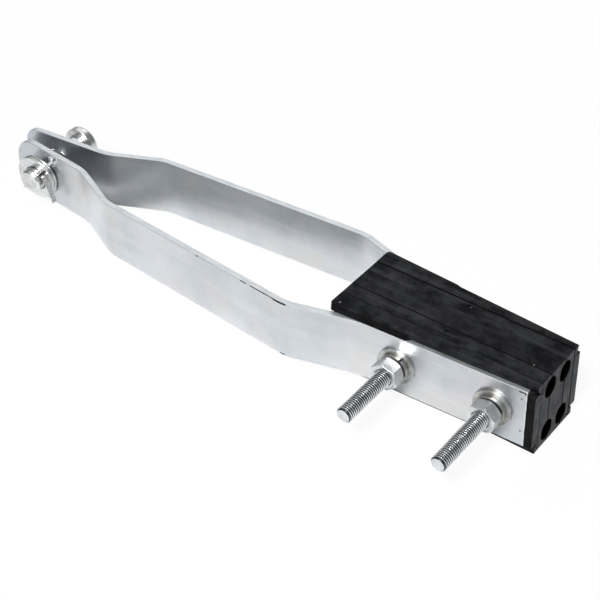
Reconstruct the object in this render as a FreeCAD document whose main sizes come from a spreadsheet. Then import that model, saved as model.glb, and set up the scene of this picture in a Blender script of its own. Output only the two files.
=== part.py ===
"""Anchor clamp for insulated overhead conductors, in millimetres.

Two bent flat bars meet at a clevis pin on one end. On the other end two bolts press them on a
rubber-like block that has four channels for the conductors. The origin is the centre of the clevis
pin, +X runs to the channel end, +Y to the bolt heads and +Z up, across the width of the bars.
"""
import FreeCAD, Part
import math
import os
import re

import Sketcher

SIZES = {
    # Flat bars
    "strap_width": 40.0,
    "strap_thick": 4.0,
    "clevis_gap": 10.6,
    "ear_angle": 5.36,
    "ear_back": 25.0,
    "ear_hole": 19.0,
    "ear_allowance": 1.0,
    "ear_cut_margin": 10.0,
    "neck_length": 43.3,
    "flare_length": 35.8,
    "loop_length": 151.3,
    "closing_length": 42.5,
    "grip_length": 105.2,
    "loop_width_near": 50.8,
    "loop_width_far": 73.3,
    "grip_angle": 3.1,
    "neck_bend_radius": 36.0,
    "flare_bend_radius": 26.0,
    "shoulder_bend_radius": 30.0,
    "grip_bend_radius": 60.0,
    # Block of cheeks, jaws and insert
    "insert_thick": 15.2,
    "jaw_thick": 9.0,
    "web_thin": 1.8,
    "mouth_lead": 19.1,
    "lip_height": 4.8,
    "lip_clear": 0.1,
    "lip_setback": 2.5,
    "lip_overhang": 1.2,
    "lip_draft": 0.7,
    "lower_lip_width": 3.2,
    "lip_step_place": 49.2,
    "lip_step_run": 3.0,
    "rib_thick": 5.4,
    "rib_height": 37.0,
    "rib_proud": 0.6,
    "rib_clear": 0.2,
    "channel_width": 10.8,
    "channel_height": 13.2,
    "channel_spacing": 31.6,
    # Clamping bolts, nuts and washers
    "bolt_diameter": 10.0,
    "bolt_margin": 19.4,
    "bolt_spacing": 60.5,
    "bolt_reach": 76.5,
    "bolt_hole": 13.0,
    "bolt_head_height": 6.4,
    "bolt_tip_chamfer": 1.0,
    "hexagon_width": 16.0,
    "nut_height": 8.4,
    "nut_clear": 0.08,
    "inner_nut_turn": 12.0,
    "outer_nut_turn": -14.0,
    "washer_diameter": 23.5,
    "washer_bore": 10.6,
    "washer_thick": 2.0,
    "spring_washer_diameter": 18.0,
    "spring_washer_thick": 2.2,
    "spring_washer_slit": 1.2,
    "spring_washer_slant": 20.0,
    "inner_slit_turn": 150.0,
    "outer_slit_turn": 20.0,
    # Clevis pin with its washers and split pin
    "pin_diameter": 16.0,
    "pin_length": 50.0,
    "pin_tilt": 4.2,
    "pin_tip_margin": 4.1,
    "pin_tip_chamfer": 1.0,
    "pin_head_diameter": 24.2,
    "pin_head_height": 6.4,
    "pin_head_chamfer": 1.1,
    "pin_washer_diameter": 31.0,
    "pin_washer_bore": 17.0,
    "pin_washer_thick": 2.1,
    "pin_seat_gap": 0.25,
    "split_pin_diameter": 3.7,
    "split_pin_hole": 4.1,
    "split_pin_angle": 44.5,
    "split_pin_length": 32.0,
    "split_pin_eye": 7.4,
    "split_pin_bend_radius": 3.2,
    "split_pin_bend_angle": 117.0,
    "split_pin_clear": 0.25,
}

# Stations along X, from the clevis pin to the channel end, on the inner faces of the bars
NECK_END = "neck_length"
LOOP_START = f"({NECK_END} + flare_length)"
LOOP_END = f"({LOOP_START} + loop_length)"
GRIP_START = f"({LOOP_END} + closing_length)"
STRAP_END = f"({GRIP_START} + grip_length)"
BLOCK_START = f"({GRIP_START} - mouth_lead)"
BLOCK_END = f"({STRAP_END} + rib_thick)"
LIP_STEP = f"({BLOCK_START} + lip_step_place)"
OUTER_BOLT = f"({STRAP_END} - bolt_margin)"
INNER_BOLT = f"({OUTER_BOLT} - bolt_spacing)"

# Half widths across Y
INNER_SEAM = "(insert_thick / 2)"
OUTER_SEAM = f"({INNER_SEAM} + jaw_thick)"
STRAP_END_INSIDE = f"({OUTER_SEAM} + web_thin)"
STRAP_SLANT_THICK = "(strap_thick / cos(grip_angle))"
BLOCK_HALF_HEIGHT = "(strap_width / 2 + lip_height)"
LIP_FLOOR = "(strap_width / 2 + lip_clear)"

# Directions of a hexagon's corners, in degrees
HEXAGON_TURNS = (30, 90, 150, 210, 270, 330)
HEXAGON_CORNER = f"(hexagon_width / 2 / cos({HEXAGON_TURNS[0]}))"


def grip_inside(station):
    """Half width to the inner face of a bar in its straight, clamped stretch."""
    return f"({STRAP_END_INSIDE} + tan(grip_angle) * ({STRAP_END} - {station}))"


def grip_outside(station):
    return f"({grip_inside(station)} + {STRAP_SLANT_THICK})"


def lip_edge(station):
    """Half width to the outer foot of a lip that stands back from the bar's outer face."""
    return f"({grip_outside(station)} - lip_setback)"


# Places along the clevis pin's axis: 0 at the origin, positive towards the head. The first washer
# touches the front ear with one point of its rim, because the ear isn't square to the pin.
EAR_OUTSIDE = "(clevis_gap / 2 + strap_thick / cos(ear_angle))"
WASHER_SEAT = (f"(({EAR_OUTSIDE} + pin_washer_diameter / 2"
               " * (sin(pin_tilt) + tan(ear_angle) * cos(pin_tilt)))"
               " / (cos(pin_tilt) - tan(ear_angle) * sin(pin_tilt)) + pin_seat_gap)")
SPLIT_PIN_PLACE = f"({WASHER_SEAT} + 2 * pin_washer_thick + split_pin_clear + split_pin_diameter / 2)"
PIN_TIP = f"({SPLIT_PIN_PLACE} + pin_tip_margin)"

# Distance within which an edge counts as lying in its place
NEAR = 0.01

doc = FreeCAD.newDocument("anchor_clamp")
sheet = doc.addObject("Spreadsheet::Sheet", "Sizes")
for row, (alias, number) in enumerate(SIZES.items(), start=1):
    sheet.set(f"A{row}", alias.replace("_", " "))
    sheet.set(f"B{row}", str(number))
    sheet.setAlias(f"B{row}", alias)
doc.recompute()
bodies = []


def bound(text):
    """The formula with each size's name pointing at its cell."""
    return re.sub(r"\b[a-z]+(?:_[a-z]+)+\b", lambda found: "Sizes." + found.group(0), text)


def value(text):
    return float(sheet.evalExpression(bound(text)))


def new_body(label):
    body = doc.addObject("PartDesign::Body", label)
    body.Label = label
    bodies.append(body)
    return body


def plane(body, role):
    return next(item for item in body.Origin.OriginFeatures if item.Role == role)


def new_sketch(body, name, role, lift=None):
    """Sketch on one of the body's origin planes, lifted along the plane's normal."""
    sketch = body.newObject("Sketcher::SketchObject", name)
    sketch.AttachmentSupport = [(plane(body, role), "")]
    sketch.MapMode = "FlatFace"
    if lift:
        sketch.setExpression("AttachmentOffset.Base.z", bound(lift))
    return sketch


def bind(sketch, kind, arguments, text, name):
    """Dimension whose length follows a formula."""
    index = sketch.addConstraint(Sketcher.Constraint(kind, *arguments, value(text)))
    sketch.renameConstraint(index, name)
    sketch.setExpression(f"Constraints.{name}", bound(text))


def bind_point(sketch, line, end, across, up, name):
    bind(sketch, "DistanceX", (-1, 1, line, end), across, f"{name}_across")
    bind(sketch, "DistanceY", (-1, 1, line, end), up, f"{name}_up")


def draw_loop(sketch, points):
    """Closed run of lines through the points. Returns the index of the first line."""
    first = sketch.GeometryCount
    count = len(points)
    for start, end in zip(points, points[1:] + points[:1]):
        sketch.addGeometry(Part.LineSegment(start, end), False)
    for index in range(count):
        following = first + (index + 1) % count
        sketch.addConstraint(Sketcher.Constraint("Coincident", first + index, 2, following, 1))
    return first


def draw_outline(sketch, corners):
    """Closed outline whose corners are pairs of formulas."""
    points = [FreeCAD.Vector(value(across), value(up), 0) for across, up in corners]
    first = draw_loop(sketch, points)
    for index, (across, up) in enumerate(corners):
        bind_point(sketch, first + index, 1, across, up, f"corner_{first + index}")


def draw_circle(sketch, across, up, diameter):
    centre = FreeCAD.Vector(value(across), value(up), 0)
    index = sketch.addGeometry(Part.Circle(centre, FreeCAD.Vector(0, 0, 1), value(diameter) / 2), False)
    bind_point(sketch, index, 3, across, up, f"circle_{index}")
    bind(sketch, "Diameter", (index,), diameter, f"circle_{index}_diameter")


def draw_slot(sketch, across, up, width, height):
    """Upright slot with round ends."""
    radius = value(width) / 2
    rise = (value(height) - value(width)) / 2
    middle = FreeCAD.Vector(value(across), value(up), 0)
    up_axis = FreeCAD.Vector(0, 0, 1)
    side = FreeCAD.Vector(radius, 0, 0)
    shift = FreeCAD.Vector(0, rise, 0)
    ends = (Part.Circle(middle + shift, up_axis, radius), Part.Circle(middle - shift, up_axis, radius))
    top = sketch.addGeometry(Part.ArcOfCircle(ends[0], 0, math.pi), False)
    low = sketch.addGeometry(Part.ArcOfCircle(ends[1], math.pi, 2 * math.pi), False)
    left = sketch.addGeometry(Part.LineSegment(middle + shift - side, middle - shift - side), False)
    right = sketch.addGeometry(Part.LineSegment(middle - shift + side, middle + shift + side), False)
    for one, two in ((top, left), (left, low), (low, right), (right, top)):
        sketch.addConstraint(Sketcher.Constraint("Tangent", one, 2, two, 1))
    bind_point(sketch, top, 3, across, f"{up} + ({height} - {width}) / 2", f"slot_{top}_top")
    bind_point(sketch, low, 3, across, f"{up} - ({height} - {width}) / 2", f"slot_{top}_low")
    bind(sketch, "Radius", (top,), f"{width} / 2", f"slot_{top}_radius")


def feature(body, kind, name, profile):
    item = body.newObject(f"PartDesign::{kind}", name)
    item.Profile = profile
    return item


def pad(body, name, profile, length, symmetric=True):
    item = feature(body, "Pad", name, profile)
    item.SideType = "Symmetric" if symmetric else "One side"
    item.setExpression("Length", bound(length))
    doc.recompute()
    return item


def pocket(body, name, profile):
    """Cut right through the body on both sides of the sketch."""
    before = body.Shape.Volume
    item = feature(body, "Pocket", name, profile)
    item.SideType = "Symmetric"
    item.Type = "ThroughAll"
    doc.recompute()
    if body.Shape.Volume >= before:
        raise RuntimeError(f"{body.Label}: {name} cuts nothing")
    return item


def edges_where(shape, wanted):
    return [f"Edge{index}" for index, edge in enumerate(shape.Edges, start=1) if wanted(edge)]


def dress(body, kind, name, size, wanted):
    """Fillet or chamfer on the edges of the body that answer to wanted."""
    base = body.Tip
    item = body.newObject(f"PartDesign::{kind}", name)
    item.Base = (base, edges_where(base.Shape, wanted))
    item.setExpression("Radius" if kind == "Fillet" else "Size", bound(size))
    doc.recompute()
    return item


def place(body, across, along, up, rotation):
    body.Placement = FreeCAD.Placement(FreeCAD.Vector(), rotation)
    for letter, text in zip("xyz", (across, along, up)):
        body.setExpression(f"Placement.Base.{letter}", bound(text))


def is_upright_at(edge, point):
    """True for an edge that runs along Z through the point in plan."""
    ends = [vertex.Point for vertex in edge.Vertexes]
    return len(ends) == 2 and all(math.hypot(end.x - point.x, end.y - point.y) < NEAR for end in ends)


# Flat bars


def mitred(points, distance):
    """The points moved sideways, so that each run keeps the same distance from the first line."""
    runs = [end - start for start, end in zip(points, points[1:])]
    angles = [math.atan2(run.y, run.x) for run in runs]
    before = [angles[0]] + angles
    after = angles + [angles[-1]]
    moved = []
    for point, one, two in zip(points, before, after):
        middle = (one + two) / 2
        reach = distance / math.cos((two - one) / 2)
        moved.append(point + FreeCAD.Vector(-math.sin(middle), math.cos(middle), 0) * reach)
    return moved


def draw_bar(sketch, side):
    """Plan of the bent bar: the inner face through its bends, the outer face parallel to it."""
    ear_end = "-(ear_back + ear_allowance)"
    stations = (
        (ear_end, f"(clevis_gap / 2 + tan(ear_angle) * {ear_end})"),
        (NECK_END, f"(clevis_gap / 2 + tan(ear_angle) * {NECK_END})"),
        (LOOP_START, "(loop_width_near / 2)"),
        (LOOP_END, "(loop_width_far / 2)"),
        (GRIP_START, grip_inside(GRIP_START)),
        (STRAP_END, STRAP_END_INSIDE),
    )
    inner = [FreeCAD.Vector(value(across), side * value(half), 0) for across, half in stations]
    outer = mitred(inner, side * value("strap_thick"))
    draw_loop(sketch, inner + outer[::-1])
    count = len(inner)
    for index, (across, half) in enumerate(stations):
        bind_point(sketch, index, 1, across, f"{side} * {half}", f"bend_{index}")
    for index in range(count - 1):
        opposite = 2 * count - 2 - index
        sketch.addConstraint(Sketcher.Constraint("Parallel", index, opposite))
        bind(sketch, "Distance", (opposite, 1, index), "strap_thick", f"thickness_{index}")
    sketch.addConstraint(Sketcher.Constraint("Perpendicular", count - 1, count - 2))
    sketch.addConstraint(Sketcher.Constraint("Perpendicular", 2 * count - 1, 0))
    return inner, outer


def draw_ear_waste(sketch):
    """What is cut away round the half circle at the ear's end."""
    centre_x = "(strap_width / 2 - ear_back)"
    beyond_x = "(-ear_back - ear_cut_margin)"
    beyond_z = "(strap_width / 2 + ear_cut_margin)"
    x0 = value(centre_x)
    x1 = value(beyond_x)
    z1 = value(beyond_z)
    radius = value("strap_width / 2")
    middle = FreeCAD.Vector(x0, 0, 0)
    path = [FreeCAD.Vector(x0, radius, 0), FreeCAD.Vector(x0, z1, 0), FreeCAD.Vector(x1, z1, 0),
            FreeCAD.Vector(x1, -z1, 0), FreeCAD.Vector(x0, -z1, 0), FreeCAD.Vector(x0, -radius, 0)]
    for start, end in zip(path, path[1:]):
        sketch.addGeometry(Part.LineSegment(start, end), False)
    circle = Part.Circle(middle, FreeCAD.Vector(0, 0, 1), radius)
    arc = sketch.addGeometry(Part.ArcOfCircle(circle, math.pi / 2, 3 * math.pi / 2), False)
    for index in range(4):
        sketch.addConstraint(Sketcher.Constraint("Coincident", index, 2, index + 1, 1))
    sketch.addConstraint(Sketcher.Constraint("Coincident", arc, 1, 0, 1))
    sketch.addConstraint(Sketcher.Constraint("Coincident", arc, 2, 4, 2))
    sketch.addConstraint(Sketcher.Constraint("Vertical", 0))
    sketch.addConstraint(Sketcher.Constraint("Vertical", 4))
    sketch.addConstraint(Sketcher.Constraint("PointOnObject", arc, 3, -1))
    bind(sketch, "DistanceX", (-1, 1, arc, 3), centre_x, "centre_across")
    bind(sketch, "Radius", (arc,), "strap_width / 2", "ear_radius")
    bind_point(sketch, 1, 1, centre_x, beyond_z, "top_right")
    bind_point(sketch, 2, 1, beyond_x, beyond_z, "top_left")
    bind_point(sketch, 3, 1, beyond_x, f"-{beyond_z}", "low_left")
    bind_point(sketch, 4, 1, centre_x, f"-{beyond_z}", "low_right")


def drill(body, name, holes):
    """Round holes through the body along Y."""
    sketch = new_sketch(body, name + "_sketch", "XZ_Plane")
    for station, diameter in holes:
        draw_circle(sketch, station, "0", diameter)
    pocket(body, name, sketch)


def make_strap(label, side):
    body = new_body(label)
    plan = new_sketch(body, "Plan", "XY_Plane")
    inner, outer = draw_bar(plan, side)
    pad(body, "Bar", plan, "strap_width")
    # Each bend turns about one centre: its hollow face has the radius, its full face a thickness more.
    bends = (("Neck_bend", "neck_bend_radius", outer[1], inner[1]),
             ("Flare_bend", "flare_bend_radius", inner[2], outer[2]),
             ("Shoulder_bend", "shoulder_bend_radius", inner[3], outer[3]),
             ("Grip_bend", "grip_bend_radius", outer[4], inner[4]))
    for name, radius, hollow, full in bends:
        dress(body, "Fillet", name, radius, lambda edge: is_upright_at(edge, hollow))
        dress(body, "Fillet", name + "_back", f"{radius} + strap_thick",
              lambda edge: is_upright_at(edge, full))
    waste = new_sketch(body, "Ear_waste", "XZ_Plane")
    draw_ear_waste(waste)
    pocket(body, "Ear_round", waste)
    drill(body, "Pin_hole", [("0", "ear_hole")])
    drill(body, "Bolt_holes", [(INNER_BOLT, "bolt_hole"), (OUTER_BOLT, "bolt_hole")])


# Block


def make_lip(body, name, side, level, outlines):
    """Lip over one edge of the bar, from its foot beside the edge out to the block's face."""
    sections = []
    for part, height, corners in zip(("foot", "crest"), (LIP_FLOOR, BLOCK_HALF_HEIGHT), outlines):
        section = new_sketch(body, f"{name}_{part}", "XY_Plane", f"{level} * {height}")
        draw_outline(section, [(across, f"{side} * {half}") for across, half in corners])
        sections.append(section)
    lip = feature(body, "AdditiveLoft", name, sections[0])
    lip.Sections = sections[1:]
    lip.Ruled = True
    doc.recompute()


def make_cheek(label, side):
    """Liner between a bar and its jaw: a wedge-shaped web, a lip over each edge of the bar, an end rib."""
    body = new_body(label)
    web = new_sketch(body, "Web_plan", "XY_Plane")
    draw_outline(web, [(BLOCK_START, f"{side} * {OUTER_SEAM}"), (BLOCK_END, f"{side} * {OUTER_SEAM}"),
                       (BLOCK_END, f"{side} * {grip_inside(BLOCK_END)}"),
                       (BLOCK_START, f"{side} * {grip_inside(BLOCK_START)}")])
    pad(body, "Web", web, f"2 * {BLOCK_HALF_HEIGHT}")

    past_step = f"({LIP_STEP} + lip_step_run)"
    stations = (BLOCK_START, BLOCK_END, BLOCK_END, past_step, LIP_STEP, BLOCK_START)
    foot = (OUTER_SEAM, OUTER_SEAM, lip_edge(BLOCK_END), lip_edge(past_step),
            grip_outside(LIP_STEP), grip_outside(BLOCK_START))
    upper_crest = (OUTER_SEAM, OUTER_SEAM,
                   f"({lip_edge(BLOCK_END)} + lip_overhang)", f"({lip_edge(past_step)} + lip_overhang)",
                   f"({grip_outside(LIP_STEP)} - lip_draft)", f"({grip_outside(BLOCK_START)} - lip_draft)")
    lower_crest = (OUTER_SEAM, OUTER_SEAM) + 4 * (f"({OUTER_SEAM} + lower_lip_width)",)
    for name, level, crest in (("Upper_lip", 1, upper_crest), ("Lower_lip", -1, lower_crest)):
        make_lip(body, name, side, level, [list(zip(stations, halves)) for halves in (foot, crest)])

    rib = new_sketch(body, "Rib_plan", "XY_Plane")
    rib_start = f"({STRAP_END} + rib_clear)"
    rib_face = f"({grip_outside(STRAP_END)} + rib_proud)"
    draw_outline(rib, [(rib_start, f"{side} * {OUTER_SEAM}"), (BLOCK_END, f"{side} * {OUTER_SEAM}"),
                       (BLOCK_END, f"{side} * {rib_face}"), (rib_start, f"{side} * {rib_face}")])
    pad(body, "Rib", rib, "rib_height")
    drill(body, "Bolt_holes", [(INNER_BOLT, "bolt_hole"), (OUTER_BOLT, "bolt_hole")])


def make_slab(label, low, high, channel_rows):
    """Upright slab of the block with half channels along its faces, for the conductors."""
    body = new_body(label)
    plan = new_sketch(body, "Slab_plan", "XY_Plane")
    draw_outline(plan, [(BLOCK_START, low), (BLOCK_END, low), (BLOCK_END, high), (BLOCK_START, high)])
    pad(body, "Slab", plan, f"2 * {BLOCK_HALF_HEIGHT}")
    ends = new_sketch(body, "Channel_ends", "YZ_Plane")
    for row in channel_rows:
        for level in (-1, 1):
            draw_slot(ends, row, f"{level} * channel_spacing / 2", "channel_width", "channel_height")
    pocket(body, "Channels", ends)
    drill(body, "Bolt_holes", [(INNER_BOLT, "bolt_hole"), (OUTER_BOLT, "bolt_hole")])


# Bolts, nuts and washers, each drawn about its own Z axis from its bearing face


def draw_hexagon(sketch):
    corners = [(f"{HEXAGON_CORNER} * cos({turn})", f"{HEXAGON_CORNER} * sin({turn})")
               for turn in HEXAGON_TURNS]
    draw_loop(sketch, [FreeCAD.Vector(value(across), value(up), 0) for across, up in corners])
    for index, (across, up) in enumerate(corners):
        on_axis = HEXAGON_TURNS[index] % 180 == 90
        if on_axis:
            sketch.addConstraint(Sketcher.Constraint("PointOnObject", index, 1, -2))
            bind(sketch, "DistanceY", (-1, 1, index, 1), up, f"corner_{index}_up")
        else:
            bind_point(sketch, index, 1, across, up, f"corner_{index}")


def make_bolt(label, station):
    body = new_body(label)
    seat = (f"({grip_outside(station)} + washer_thick / cos(grip_angle)"
            f" + {HEXAGON_CORNER} * tan(grip_angle))")
    length = f"({seat} + bolt_reach)"
    shank = new_sketch(body, "Shank_section", "XY_Plane")
    draw_circle(shank, "0", "0", "bolt_diameter")
    pad(body, "Shank", shank, length, symmetric=False)
    tip = value(length)
    dress(body, "Chamfer", "Tip", "bolt_tip_chamfer",
          lambda edge: abs(edge.BoundBox.ZMin - tip) < NEAR and abs(edge.BoundBox.ZMax - tip) < NEAR)
    head = new_sketch(body, "Head_section", "XY_Plane", "-bolt_head_height")
    draw_hexagon(head)
    pad(body, "Head", head, "bolt_head_height", symmetric=False)
    # The shank points to -Y.
    place(body, station, seat, "0", FreeCAD.Rotation(FreeCAD.Vector(1, 0, 0), 90))


def make_nut(label, station, turn):
    body = new_body(label)
    section = new_sketch(body, "Nut_section", "XY_Plane")
    draw_hexagon(section)
    draw_circle(section, "0", "0", "bolt_diameter + 2 * nut_clear")
    pad(body, "Nut", section, "nut_height", symmetric=False)
    stack = "(washer_thick + spring_washer_thick) / cos(grip_angle)"
    seat = f"({grip_outside(station)} + {stack} + {HEXAGON_CORNER} * tan(grip_angle))"
    spin = FreeCAD.Rotation(FreeCAD.Vector(0, 0, 1), value(turn))
    place(body, station, f"-{seat}", "0", FreeCAD.Rotation(FreeCAD.Vector(1, 0, 0), 90).multiply(spin))


def draw_ring(sketch, outside, inside):
    draw_circle(sketch, "0", "0", outside)
    draw_circle(sketch, "0", "0", inside)


def make_washer(label, station, side):
    """Flat washer that lies on the slanting face of its bar."""
    body = new_body(label)
    section = new_sketch(body, "Washer_section", "XY_Plane")
    draw_ring(section, "washer_diameter", "washer_bore")
    pad(body, "Washer", section, "washer_thick", symmetric=False)
    lean = FreeCAD.Rotation(FreeCAD.Vector(0, 0, 1), -side * value("grip_angle"))
    upright = FreeCAD.Rotation(FreeCAD.Vector(1, 0, 0), -side * 90)
    place(body, station, f"{side} * {grip_outside(station)}", "0", lean.multiply(upright))


def make_spring_washer(label, station, turn):
    """Split ring, flattened by the nut, on top of the front washer."""
    body = new_body(label)
    section = new_sketch(body, "Ring_section", "XY_Plane")
    draw_ring(section, "spring_washer_diameter", "washer_bore")
    pad(body, "Ring", section, "spring_washer_thick", symmetric=False)
    slit = new_sketch(body, "Slit", "XZ_Plane", "-spring_washer_diameter")
    half = "(spring_washer_slit / 2)"
    run = "(spring_washer_thick * tan(spring_washer_slant))"
    draw_outline(slit, [(f"-{half} - {run}", "-spring_washer_thick"),
                        (f"{half} - {run}", "-spring_washer_thick"),
                        (f"{half} + 2 * {run}", "2 * spring_washer_thick"),
                        (f"-{half} + 2 * {run}", "2 * spring_washer_thick")])
    cut = feature(body, "Pocket", "Slit_cut", slit)
    cut.setExpression("Length", bound("spring_washer_diameter"))
    doc.recompute()
    lean = FreeCAD.Rotation(FreeCAD.Vector(0, 0, 1), value("grip_angle"))
    upright = FreeCAD.Rotation(FreeCAD.Vector(1, 0, 0), 90)
    spin = FreeCAD.Rotation(FreeCAD.Vector(0, 0, 1), value(turn))
    place(body, f"({station} + washer_thick * sin(grip_angle))",
          f"-({grip_outside(station)} + washer_thick * cos(grip_angle))", "0",
          lean.multiply(upright).multiply(spin))


# Clevis pin group, drawn about the pin's own axis: Z towards the head, 0 at the origin


def along_pin():
    """Turns Z onto the pin's axis, which leans in plan."""
    tilt = FreeCAD.Rotation(FreeCAD.Vector(0, 0, 1), value("pin_tilt"))
    return tilt.multiply(FreeCAD.Rotation(FreeCAD.Vector(1, 0, 0), -90))


def make_clevis_pin():
    body = new_body("clevis_pin")
    shank = new_sketch(body, "Shank_section", "XY_Plane", f"-{PIN_TIP}")
    draw_circle(shank, "0", "0", "pin_diameter")
    pad(body, "Shank", shank, "pin_length", symmetric=False)
    tip = -value(PIN_TIP)
    dress(body, "Chamfer", "Tip", "pin_tip_chamfer",
          lambda edge: abs(edge.BoundBox.ZMax - tip) < NEAR)
    head = new_sketch(body, "Head_section", "XY_Plane", f"pin_length - {PIN_TIP}")
    draw_circle(head, "0", "0", "pin_head_diameter")
    pad(body, "Head", head, "pin_head_height", symmetric=False)
    crown = value(f"pin_length - {PIN_TIP} + pin_head_height")
    dress(body, "Chamfer", "Crown", "pin_head_chamfer", lambda edge: abs(edge.BoundBox.ZMin - crown) < NEAR)
    cross = new_sketch(body, "Cross_hole_section", "XZ_Plane")
    draw_circle(cross, "0", f"-{SPLIT_PIN_PLACE}", "split_pin_hole")
    pocket(body, "Cross_hole", cross)
    # The cross hole is cut along local Y, so the pin is turned until that lies along the split pin.
    spin = FreeCAD.Rotation(FreeCAD.Vector(0, 0, 1), 90 - value("split_pin_angle"))
    place(body, "0", "0", "0", along_pin().multiply(spin))


def make_pin_washer(label, number):
    body = new_body(label)
    height = f"-({WASHER_SEAT} + {number} * pin_washer_thick)"
    section = new_sketch(body, "Washer_section", "XY_Plane", height)
    draw_ring(section, "pin_washer_diameter", "pin_washer_bore")
    pad(body, "Washer", section, "pin_washer_thick", symmetric=False)
    place(body, "0", "0", "0", along_pin())


def make_split_pin():
    """Half-round wire in flats: an eye, two legs side by side through the pin, one bent down.

    Local X runs along the cross hole to the legs, local Y to the straight leg's side.
    """
    body = new_body("split_pin")
    start = "-(pin_diameter / 2 + split_pin_diameter / 2)"
    straight = new_sketch(body, "Straight_leg_section", "YZ_Plane", start)
    draw_half_wire(straight, "0", 1)
    pad(body, "Straight_leg", straight, f"split_pin_length - {start}", symmetric=False)

    section = new_sketch(body, "Bent_leg_section", "YZ_Plane", start)
    draw_half_wire(section, "0", -1)
    path = new_sketch(body, "Bent_leg_path", "XY_Plane")
    draw_bent_leg(path, start)
    leg = feature(body, "AdditivePipe", "Bent_leg", section)
    leg.Spine = (path, ["Edge1", "Edge2", "Edge3"])
    doc.recompute()

    eye = new_sketch(body, "Eye_section", "XZ_Plane")
    eye_centre = "(-(pin_diameter + split_pin_eye) / 2 - split_pin_clear)"
    draw_eye_section(eye, eye_centre)
    ring = feature(body, "Revolution", "Eye", eye)
    ring.ReferenceAxis = (eye, ["Axis0"])
    ring.Angle = 360
    doc.recompute()

    spin = FreeCAD.Rotation(FreeCAD.Vector(0, 0, 1), -value("split_pin_angle"))
    flip = FreeCAD.Rotation(FreeCAD.Vector(1, 0, 0), 180)
    place(body, f"{SPLIT_PIN_PLACE} * sin(pin_tilt)", f"-{SPLIT_PIN_PLACE} * cos(pin_tilt)", "0",
          along_pin().multiply(spin).multiply(flip))


def draw_half_wire(sketch, flat, way):
    """Half of a hexagon with its flat face at the given place, bulging the way of the sign."""
    draw_outline(sketch, [(f"({flat} + {way} * split_pin_diameter / 2 * cos({turn}))",
                           f"(split_pin_diameter / 2 * sin({turn}))") for turn in (90, 30, -30, -90)])


def draw_bent_leg(sketch, start):
    """Straight through the pin, round the bend and straight on, ending as far along as the other leg."""
    x0 = value(start)
    x1 = value("pin_diameter / 2")
    radius = value("split_pin_bend_radius")
    turn = math.radians(value("split_pin_bend_angle"))
    leg_rest = ("split_pin_length - pin_diameter / 2"
                " - split_pin_bend_radius * split_pin_bend_angle * pi / 180")
    rest = value(leg_rest)
    centre = FreeCAD.Vector(x1, -radius, 0)
    bend_end = centre + FreeCAD.Vector(math.sin(turn), math.cos(turn), 0) * radius
    tip = bend_end + FreeCAD.Vector(math.cos(turn), -math.sin(turn), 0) * rest
    sketch.addGeometry(Part.LineSegment(FreeCAD.Vector(x0, 0, 0), FreeCAD.Vector(x1, 0, 0)), False)
    circle = Part.Circle(centre, FreeCAD.Vector(0, 0, 1), radius)
    sketch.addGeometry(Part.ArcOfCircle(circle, math.pi / 2 - turn, math.pi / 2), False)
    sketch.addGeometry(Part.LineSegment(bend_end, tip), False)
    sketch.addConstraint(Sketcher.Constraint("PointOnObject", 0, 1, -1))
    sketch.addConstraint(Sketcher.Constraint("Horizontal", 0))
    sketch.addConstraint(Sketcher.Constraint("Tangent", 0, 2, 1, 2))
    sketch.addConstraint(Sketcher.Constraint("Tangent", 1, 1, 2, 1))
    bind(sketch, "DistanceX", (-1, 1, 0, 1), start, "leg_start")
    bind(sketch, "DistanceX", (-1, 1, 0, 2), "pin_diameter / 2", "bend_start")
    bind(sketch, "Radius", (1,), "split_pin_bend_radius", "bend_radius")
    bind(sketch, "Distance", (2,), leg_rest, "leg_rest")
    index = sketch.addConstraint(Sketcher.Constraint("Angle", 0, 1, 2, 1, -turn))
    sketch.renameConstraint(index, "bend_turn")
    sketch.setExpression("Constraints.bend_turn", bound("-split_pin_bend_angle * 1 deg"))


def draw_eye_section(sketch, centre):
    """The wire's section on the far side of the eye's axis, its flat face towards the axis."""
    draw_half_wire(sketch, f"{centre} - split_pin_eye / 2 + split_pin_diameter / 2", -1)
    middle = value(centre)
    reach = value("split_pin_diameter / 2")
    line = Part.LineSegment(FreeCAD.Vector(middle, -reach, 0), FreeCAD.Vector(middle, reach, 0))
    axis = sketch.addGeometry(line, True)
    sketch.addConstraint(Sketcher.Constraint("Symmetric", axis, 1, axis, 2, -1))
    bind(sketch, "DistanceX", (-1, 1, axis, 1), centre, "axis_across")
    bind(sketch, "Distance", (axis,), "split_pin_diameter", "axis_length")


for label, side in (("front_strap", -1), ("rear_strap", 1)):
    make_strap(label, side)
make_cheek("front_cheek", -1)
make_slab("front_jaw", f"-{OUTER_SEAM}", f"-{INNER_SEAM}", [f"-{INNER_SEAM}"])
make_slab("centre_insert", f"-{INNER_SEAM}", INNER_SEAM, [f"-{INNER_SEAM}", INNER_SEAM])
make_slab("rear_jaw", INNER_SEAM, OUTER_SEAM, [INNER_SEAM])
make_cheek("rear_cheek", 1)

for name, station, nut_turn, slit_turn in (("inner", INNER_BOLT, "inner_nut_turn", "inner_slit_turn"),
                                           ("outer", OUTER_BOLT, "outer_nut_turn", "outer_slit_turn")):
    make_bolt(f"{name}_bolt", station)
    make_washer(f"{name}_rear_washer", station, 1)
    make_washer(f"{name}_front_washer", station, -1)
    make_spring_washer(f"{name}_spring_washer", station, slit_turn)
    make_nut(f"{name}_nut", station, nut_turn)

make_clevis_pin()
make_pin_washer("inner_pin_washer", 1)
make_pin_washer("outer_pin_washer", 2)
make_split_pin()

doc.recompute()
for item in doc.Objects:
    if "Invalid" in item.State or "Error" in item.State:
        raise RuntimeError(f"{item.Label} of {item.getParentGeoFeatureGroup()} is {item.State}")
for body in bodies:
    if body.Shape.isNull() or not body.Shape.isValid() or len(body.Shape.Solids) != 1:
        raise RuntimeError(f"{body.Label} isn't one valid solid")

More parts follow.
